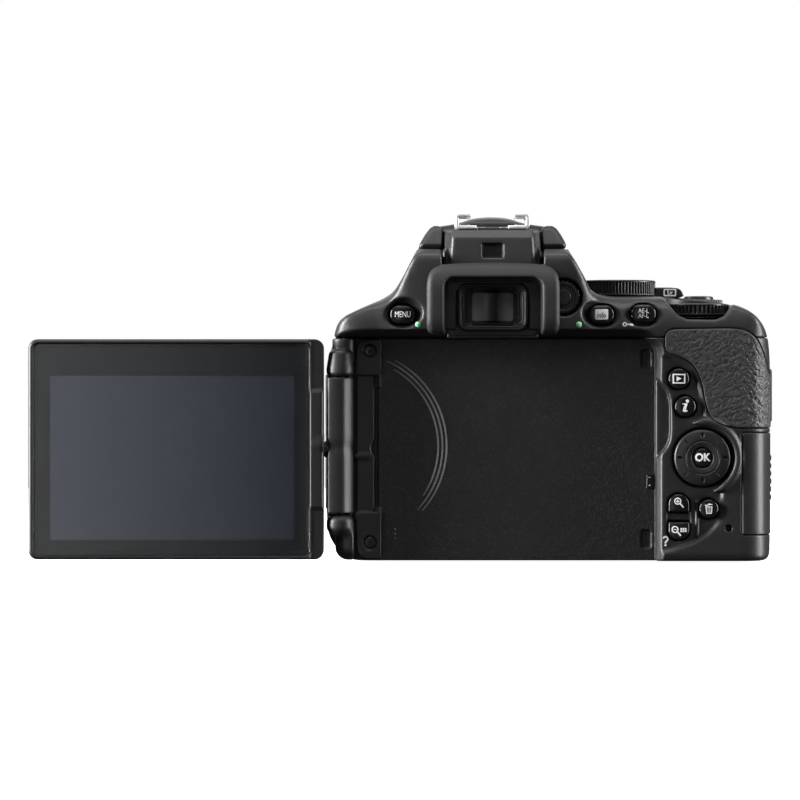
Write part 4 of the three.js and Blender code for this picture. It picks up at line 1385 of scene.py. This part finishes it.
def shoe_fittings():
    """The shoe's floor, the springs under its lips, its screws and its contacts."""
    floor_plate = plate_mesh("shoe_floor", rounded_outline(0, -0.9, 8.6, 18.4, 0.4), 92.15, 92.75, 0.12, 2)
    dress(floor_plate, SCREW)
    for side in (1, -1):
        leaf = plate_mesh(
            f"shoe_spring_{'left' if side > 0 else 'right'}",
            rounded_outline(side * 7.6, -1, 2.6, 15.5, 0.4), 93.55, 93.75, 0.05, 2)
        dress(leaf, STEEL)
    head = [(0, 92.4), (1.15, 92.4), (1.15, 92.85), (0.95, 93.0), (0.3, 93.0), (0.28, 92.8), (0, 92.75)]
    for number, (x, y) in enumerate(((-3.1, -7.6), (3.1, -7.6), (-3.1, 5.6), (3.1, 5.6))):
        lathe(f"shoe_screw_{number + 1}", head, (x, y, 0), "z", 28, STEEL)
    for number, (x, y) in enumerate(((0, -1), (-2.4, -3.4), (2.4, -3.4), (0, -5.2))):
        pad = [(0, 92.5), (0.9, 92.5), (0.9, 92.82), (0.75, 92.9), (0, 92.9)]
        lathe(f"shoe_contact_{number + 1}", pad, (x, y, 0), "z", 28, CONTACT)


def shoe_plate():
    g = Grid((-11.6, -11, 91.2), (11.6, 9.4, 92.3), 0.14)
    field = meet(rounded_rectangle(g.x, g.y, 0, -0.75, 22.3, 19.6, 0.8), slab(g.z, 91.3, 92.12), 0.2)
    return cast("shoe_base_plate", g, field, CASING, ROOT, ["shoe_plate"])


def flash():
    g = Grid((-22.6, -44.2, 83.4), (22.6, 8.6, 96), 0.32)
    field = flash_field(g, 0)
    pane = common(slab(g.x, -13.4, 13.4), g.y + 38.0, slab(g.z, 84.7, 91.5))
    field = carve(field, pane, 0.3)
    cast("flash_housing", g, field, CASING, "flash", ["flash_head"])
    g = Grid((-13.3, -43.5, 84.6), (13.3, -38, 91.6), 0.3)
    window = common(flash_field(g, -0.25), slab(g.x, -13.05, 13.05), g.y + 38.3, slab(g.z, 85.0, 91.2))
    window = window + 0.1 * np.cos(g.z * 2 * math.pi / 0.9) * np.clip(-(g.y + 40), 0, 1)
    return cast("flash_lens", g, window, FROST, "flash", ["flash_window"])


def eyepiece_painted_reflection_finish():
    """Dark glass with a painted reflection: its colour is painted lighter towards its left and right ends,
    where the side lights would be reflected.
    """
    finish = smooth_gloss("eyepiece_glass", "clear", (0.004, 0.0042, 0.005), 0.3)
    parts = finish.node("ShaderNodeSeparateXYZ")
    finish.link(finish.place, parts.inputs[0])
    reach = finish.node("ShaderNodeMath", operation="ABSOLUTE")
    finish.link(parts.outputs["X"], reach.inputs[0])
    # Painted reflection: the colour turns light grey from 1 mm to 6 mm out from the middle, standing in
    # for the side lights' reflection.
    ends = finish.spread(reach.outputs[0], 1.0 * MM, 6.0 * MM)
    return finish.tint(ends, (0.46, 0.465, 0.48))


EYEPIECE_PAINTED_REFLECTION = eyepiece_painted_reflection_finish()
FROST = grained("frosted_window", "clear", (0.55, 0.56, 0.58), 0.35, 0.5, 0.05)
eyecup()
eyepiece_frame()
eyepiece_glass()
shoe_plate()
shoe_rails()
shoe_fittings()
flash()


# ------------------------------------------------------------------ front, sides and base
def front_cover():
    g = Grid((-78.6, -46, -0.6), (47.2, -1.9, 62.4), 0.44)
    form = shaped_body(g)
    cover = hollow(form, g)
    cover = meet(cover, g.z - SEAM_LOW, 0.2)
    cover = meet(cover, g.y - FRONT_SEAM, 0.2)
    cover = carve(cover, np.maximum(circle(g.x, g.z, 0, LENS_Z, 34.25), g.y + 20), 0.2)
    pad = np.maximum(grip_area(g) - 0.12, -(form + 0.95))
    cover = carve(cover, pad, 0.15)
    cover = np.maximum(cover, -heel_room(g))
    for spans in (
            ((44.0, 49), (-21.2, -4.8), (13.8, 52.2)), ((-80, -76.0), (-14.6, -3.0), HDMI_HEIGHTS),
            ((-69.2, -51.3), (-35.9, 2.2), (-2, 1.95))):
        cover = carve(cover, box_field(g, spans, 0.6), 0.15)
    bevel = np.maximum(slab(g.z, *HDMI_HEIGHTS), -14.75 - np.clip(-77.4 - g.x, 0, 1) * 1.25 - g.y)
    cover = carve(cover, common(bevel, g.y + 13.6, g.x + 76.9), 0.1)
    return cast("front_cover_shell", g, cover, CASING, ROOT, ["front_cover"], flat=0.02)


def grip_area(g):
    return box_field(g, ((-90, -44.6), (-60, -16), (6, 59)), 2.5)


def grip_rubber():
    g = Grid((-79.0, -46.6, 5.6), (-44, -15.6, 59.4), 0.36)
    pad = leather_pad(g, grip_area(g), 0.2, 0.5, 0.9, 9)
    return cast("grip_rubber_pad", g, pad, LEATHER, ROOT, ["grip_rubber"], flat=0.01)


def merge_seams(piece):
    work = bmesh.new()
    work.from_mesh(piece.data)
    bmesh.ops.remove_doubles(work, verts=work.verts, dist=1e-6)
    settle(work, piece.data)
    piece.data.shade_smooth()
    piece.data.set_sharp_from_angle(angle=math.radians(32))
    return piece


def mount_collar():
    """The round collar that the bayonet sits in."""
    collar = [
        (24, -24), (32.8, -24), (34, -25.5), (34, -42.6), (33.6, -44.1), (32.4, -45.2), (31.75, -45.3),
        (31.75, -44.1), (24.6, -44.1), (24, -43.5), (24, -24)]
    piece = merge_seams(turned("mount_collar_ring", collar, (0, 0, LENS_Z), "y", 128))
    dress(piece, CASING, ROOT, ["mount_collar"])


def bayonet():
    """The steel ring with its three lugs."""
    def lugs(radius, angle):
        if radius > 24.2:
            return radius
        turn = (math.degrees(angle) + 20) % 120
        return radius if turn < 62 else 24.4

    ring = [
        (22.0, -44.4), (31.4, -44.4), (31.5, -44.6), (31.5, -46.1), (31.2, -46.4), (30.9, -46.5),
        (26.1, -46.5), (25.9, -46.35), (24.5, -46.35), (24.3, -46.2), (24.1, -45.9), (22.2, -45.9),
        (22.0, -45.7), (22.0, -44.4)]
    piece = merge_seams(turned("lens_mount_bayonet", ring, (0, 0, LENS_Z), "y", 180, lugs))
    dress(piece, BRUSHED, ROOT, ["lens_mount_ring"])


def mount_fittings():
    """The mount's screws, its index dot and its contacts."""
    head = [
        (0, -46.4), (1.45, -46.4), (1.45, -46.62), (1.25, -46.75), (0.42, -46.75), (0.4, -46.45),
        (0, -46.45)]
    for number in range(5):
        angle = math.radians(90 + 36 + number * 72)
        x, z = 28.5 * math.cos(angle), LENS_Z + 28.5 * math.sin(angle)
        lathe(f"mount_screw_{number + 1}", head, (x, 0, z), "y", 32, STEEL)
    dot = [(0, -46.45), (0.8, -46.45), (0.75, -46.56), (0.5, -46.6), (0, -46.62)]
    printed(turned("mount_index_dot", dot, (19.6, 0, LENS_Z + 19.6), "y", 28), ROOT)
    pin = [(0, -43), (0.62, -43), (0.62, -44.3), (0.4, -44.7), (0, -44.8)]
    for number in range(8):
        angle = math.radians(70 + number * 5.7)
        x, z = 22.9 * math.cos(angle), LENS_Z + 22.9 * math.sin(angle)
        lathe(f"lens_contact_{number + 1}", pin, (x, 0, z), "y", 20, CONTACT)


def hdmi_cover():
    g = Grid((-79.2, -14.2, 38.2), (-76.0, -3, 53.8), 0.16)
    outer = rounded_rectangle(g.y, g.z, -8.6, 45.95, 10.8, 15.1, 1.6)
    field = meet(outer, slab(g.x, -78.9, -76.3), 0.7)
    field = meet(field, (-g.x - 77.9 - (g.y + 14) * 0.9) * 0.74, 0.2)
    field = carve(field, capsule(g, (-79.1, -11.5, 40.2), (-79.1, -5.7, 40.2), 0.5), 0.2)
    cast("hdmi_cover_flap", g, field, RUBBER, "hdmi_cover", ["hdmi_cover"])


def connector_cover():
    g = Grid((44.2, -21.2, 13.8), (47, -4.8, 52.2), 0.2)
    outer = rounded_rectangle(g.y, g.z, -13, 33, 16, 38, 2.0)
    field = meet(outer, slab(g.x, 44.4, 46.75), 0.6)
    pull = ellipsoid(g, (47.6, -6.2, 33), (1.6, 2.6, 5))
    field = carve(field, pull, 0.3)
    groove = np.maximum(rounded_rectangle(g.y, g.z, -13, 33, 13.4, 35.4, 1.4), 46.45 - g.x)
    rim = np.maximum(groove, -rounded_rectangle(g.y, g.z, -13, 33, 12.8, 34.8, 1.2))
    field = carve(field, rim, 0.1)
    cast("connector_cover_flap", g, field, RUBBER, "connector_cover", ["connector_cover"])


def battery_door():
    g = Grid((-69.3, -36, 0), (-51.2, 2.3, 2), 0.2)
    outer = rounded_rectangle(g.x, g.y, -60.25, -16.85, 17.4, 37.6, 2.0)
    field = meet(outer, slab(g.z, 0.15, 1.8), 0.4)
    field = meet(field, (g.z - 0.6) * 0.64 + (g.x + 51.9) * 0.77, 0.1)
    latch = rounded_rectangle(g.x, g.y, -60.25, -31.5, 9, 4.4, 1.2)
    field = carve(field, common(latch, -latch - 0.5, g.z - 0.6), 0.1)
    cast("battery_door_lid", g, field, CASING, "battery_door", ["battery_door"])


def small_fittings():
    """The card lamp, the contact and dots in the screen's recess, and the focus lamp on the front."""
    lamp = [(0, 14.4), (0.6, 14.4), (0.6, 15.3), (0.45, 15.5), (0, 15.55)]
    lathe("card_lamp", lamp, (CARD_LAMP[0], 0, CARD_LAMP[1]), "y", 28, GLOSS)
    g = Grid((-45.1, 7.6, 19.6), (-42.8, 9.0, 24.4), 0.1)
    plate = meet(facing(g, -44.0, 22, 1.9, 4.2, 0.4), slab(g.y, 7.7, 8.55), 0.12)
    cast("screen_contact_block", g, plate, GLOSS, ROOT)
    for number, z in enumerate((20.9, 23.1)):
        pin = [(0, 8.3), (0.32, 8.3), (0.32, 8.7), (0.2, 8.85), (0, 8.9)]
        lathe(f"screen_contact_pin_{number + 1}", pin, (-44.0, 0, z), "y", 20, STEEL)
    for number in range(3):
        bead = [(0, 7.9), (0.22, 7.9), (0.22, 8.25), (0.12, 8.4), (0, 8.42)]
        lathe(f"floor_bead_{number + 1}", bead, (27.1, 0, 6.1 + 1.3 * number), "y", 14, STEEL)
    g = Grid((-38.5, -27.5, 54.5), (-31.5, -23, 61.5), 0.18)
    rim = meet(circle(g.x, g.z, *FOCUS_LAMP, 3.1), slab(g.y, -26.9, -23.5), 0.4)
    rim = carve(rim, np.maximum(circle(g.x, g.z, *FOCUS_LAMP, 2.35), g.y + 26.2), 0.15)
    cast("focus_lamp_rim", g, rim, SATIN)
    lens = [(0, -25.8), (2.3, -25.8), (2.3, -26.3), (1.4, -26.6), (0, -26.7)]
    lathe("focus_lamp_lens", lens, (FOCUS_LAMP[0], 0, FOCUS_LAMP[1]), "y", 36, CLEAR)


BRUSHED = grained("brushed_steel", "steel", (0.55, 0.56, 0.58), 0.3, 0.3, 0.004, metallic=1.0)
front_cover()
grip_rubber()
mount_collar()
bayonet()
mount_fittings()
hdmi_cover()
connector_cover()
battery_door()
small_fittings()


# ------------------------------------------------------------------ studio
PHOTO_CENTRE = (25.75, 44.7)
CAMERA_DISTANCE = 1400.0
SUBJECT_PLANE = 14.0
FIELD_WIDTH = 222.2


def photo_camera(scene):
    camera = bpy.data.objects.new("photo_camera", bpy.data.cameras.new("photo_camera"))
    scene.collection.objects.link(camera)
    camera.location = Vector((PHOTO_CENTRE[0], SUBJECT_PLANE + CAMERA_DISTANCE, PHOTO_CENTRE[1])) * MM
    camera.rotation_euler = (math.radians(90), 0, math.radians(180))
    camera.data.sensor_width = 36
    camera.data.lens = 36 * CAMERA_DISTANCE / FIELD_WIDTH
    camera.data.clip_start = 0.01
    camera.data.clip_end = 20
    scene.camera = camera


def white_surround(scene):
    """A surround that is white to the camera and dim as a light."""
    world = bpy.data.worlds.new("white_surround")
    world.use_nodes = True
    tree = world.node_tree
    background = tree.nodes["Background"]
    seen = tree.nodes.new("ShaderNodeLightPath").outputs["Is Camera Ray"]
    level = tree.nodes.new("ShaderNodeMapRange")
    feed(level, To_Min=0.07, To_Max=1.0)
    tree.links.new(seen, level.inputs["Value"])
    tree.links.new(level.outputs["Result"], background.inputs["Strength"])
    feed(background, Color=(1, 1, 1, 1))
    scene.world = world


def paper_floor():
    """A white floor that no piece reflects."""
    mesh = bpy.data.meshes.new("floor")
    reach = 1.2
    mesh.from_pydata(
        [(sx * reach, sy * reach, -0.0009) for sx, sy in ((-1, -1), (1, -1), (1, 1), (-1, 1))],
        [], [(0, 1, 2, 3)])
    floor = link("floor", mesh)
    paper = bpy.data.materials.new("white_paper")
    paper.use_nodes = True
    shader = paper.node_tree.nodes["Principled BSDF"]
    feed(shader, Base_Color=(0.9, 0.9, 0.9, 1), Roughness=0.9, Emission_Color=(1, 1, 1, 1),
         Emission_Strength=0.95)
    mesh.materials.append(paper)
    floor.visible_diffuse = False
    floor.visible_glossy = False
    floor.visible_transmission = False


def lamps(scene):
    """Two grazing side lights, one overhead, and weaker ones in front and behind."""
    aim = Vector((0.01, 0.0, 0.045))
    lights = [
        ("left_light", (1.0, 0.16, 0.16), (0.36, 0.9), 60),
        ("right_light", (-0.95, 0.10, 0.16), (0.36, 0.9), 22),
        ("top_light", (0.02, 0.08, 1.1), (1.1, 0.45), 7.5),
        ("front_light", (0.0, 1.0, 1.0), (0.9, 0.4), 2.5),
        ("back_light", (0.0, -1.1, 0.7), (1.6, 0.8), 6)]
    for name, place, size, power in lights:
        lamp = bpy.data.lights.new(name, "AREA")
        lamp.shape = "RECTANGLE"
        lamp.size, lamp.size_y = size
        lamp.energy = power
        holder = bpy.data.objects.new(name, lamp)
        holder.location = place
        holder.rotation_euler = (aim - Vector(place)).to_track_quat("-Z", "Y").to_euler()
        scene.collection.objects.link(holder)


def reflection_card():
    """A card behind the viewer, brighter to one side, whose reflection shades the display."""
    near, far, distance = 0.10, 0.75, 2.4
    mesh = bpy.data.meshes.new("reflection_card")
    mesh.from_pydata(
        [(near, distance, -0.7), (far, distance, -0.7), (far, distance, 0.8), (near, distance, 0.8)],
        [], [(0, 1, 2, 3)])
    card = link("reflection_card", mesh)
    glow = bpy.data.materials.new("card_glow")
    glow.use_nodes = True
    tree = glow.node_tree
    tree.nodes.remove(tree.nodes["Principled BSDF"])
    light = tree.nodes.new("ShaderNodeEmission")
    place = tree.nodes.new("ShaderNodeTexCoord")
    parts = tree.nodes.new("ShaderNodeSeparateXYZ")
    level = tree.nodes.new("ShaderNodeMapRange")
    feed(level, From_Min=near, From_Max=0.5, To_Max=1.05)
    tree.links.new(place.outputs["Object"], parts.inputs[0])
    tree.links.new(parts.outputs["X"], level.inputs["Value"])
    tree.links.new(level.outputs["Result"], light.inputs["Strength"])
    tree.links.new(light.outputs[0], tree.nodes["Material Output"].inputs["Surface"])
    mesh.materials.append(glow)
    card.visible_camera = False
    card.visible_shadow = False


def dress_cad_nodes():
    """The CAD nodes that stay visible get the procedural finish of their material slot."""
    slots = {part["node"]: part["material_slot"] for part in frame["record"]["subparts"]}
    for name, node in frame["nodes"].items():
        if not node.hide_render:
            node.data.materials.clear()
            node.data.materials.append(BY_SLOT[slots[name]].material)


scene = bpy.context.scene
scene.view_settings.view_transform = "Standard"
scene.view_settings.look = "None"
photo_camera(scene)
white_surround(scene)
paper_floor()
lamps(scene)
reflection_card()
dress_cad_nodes()
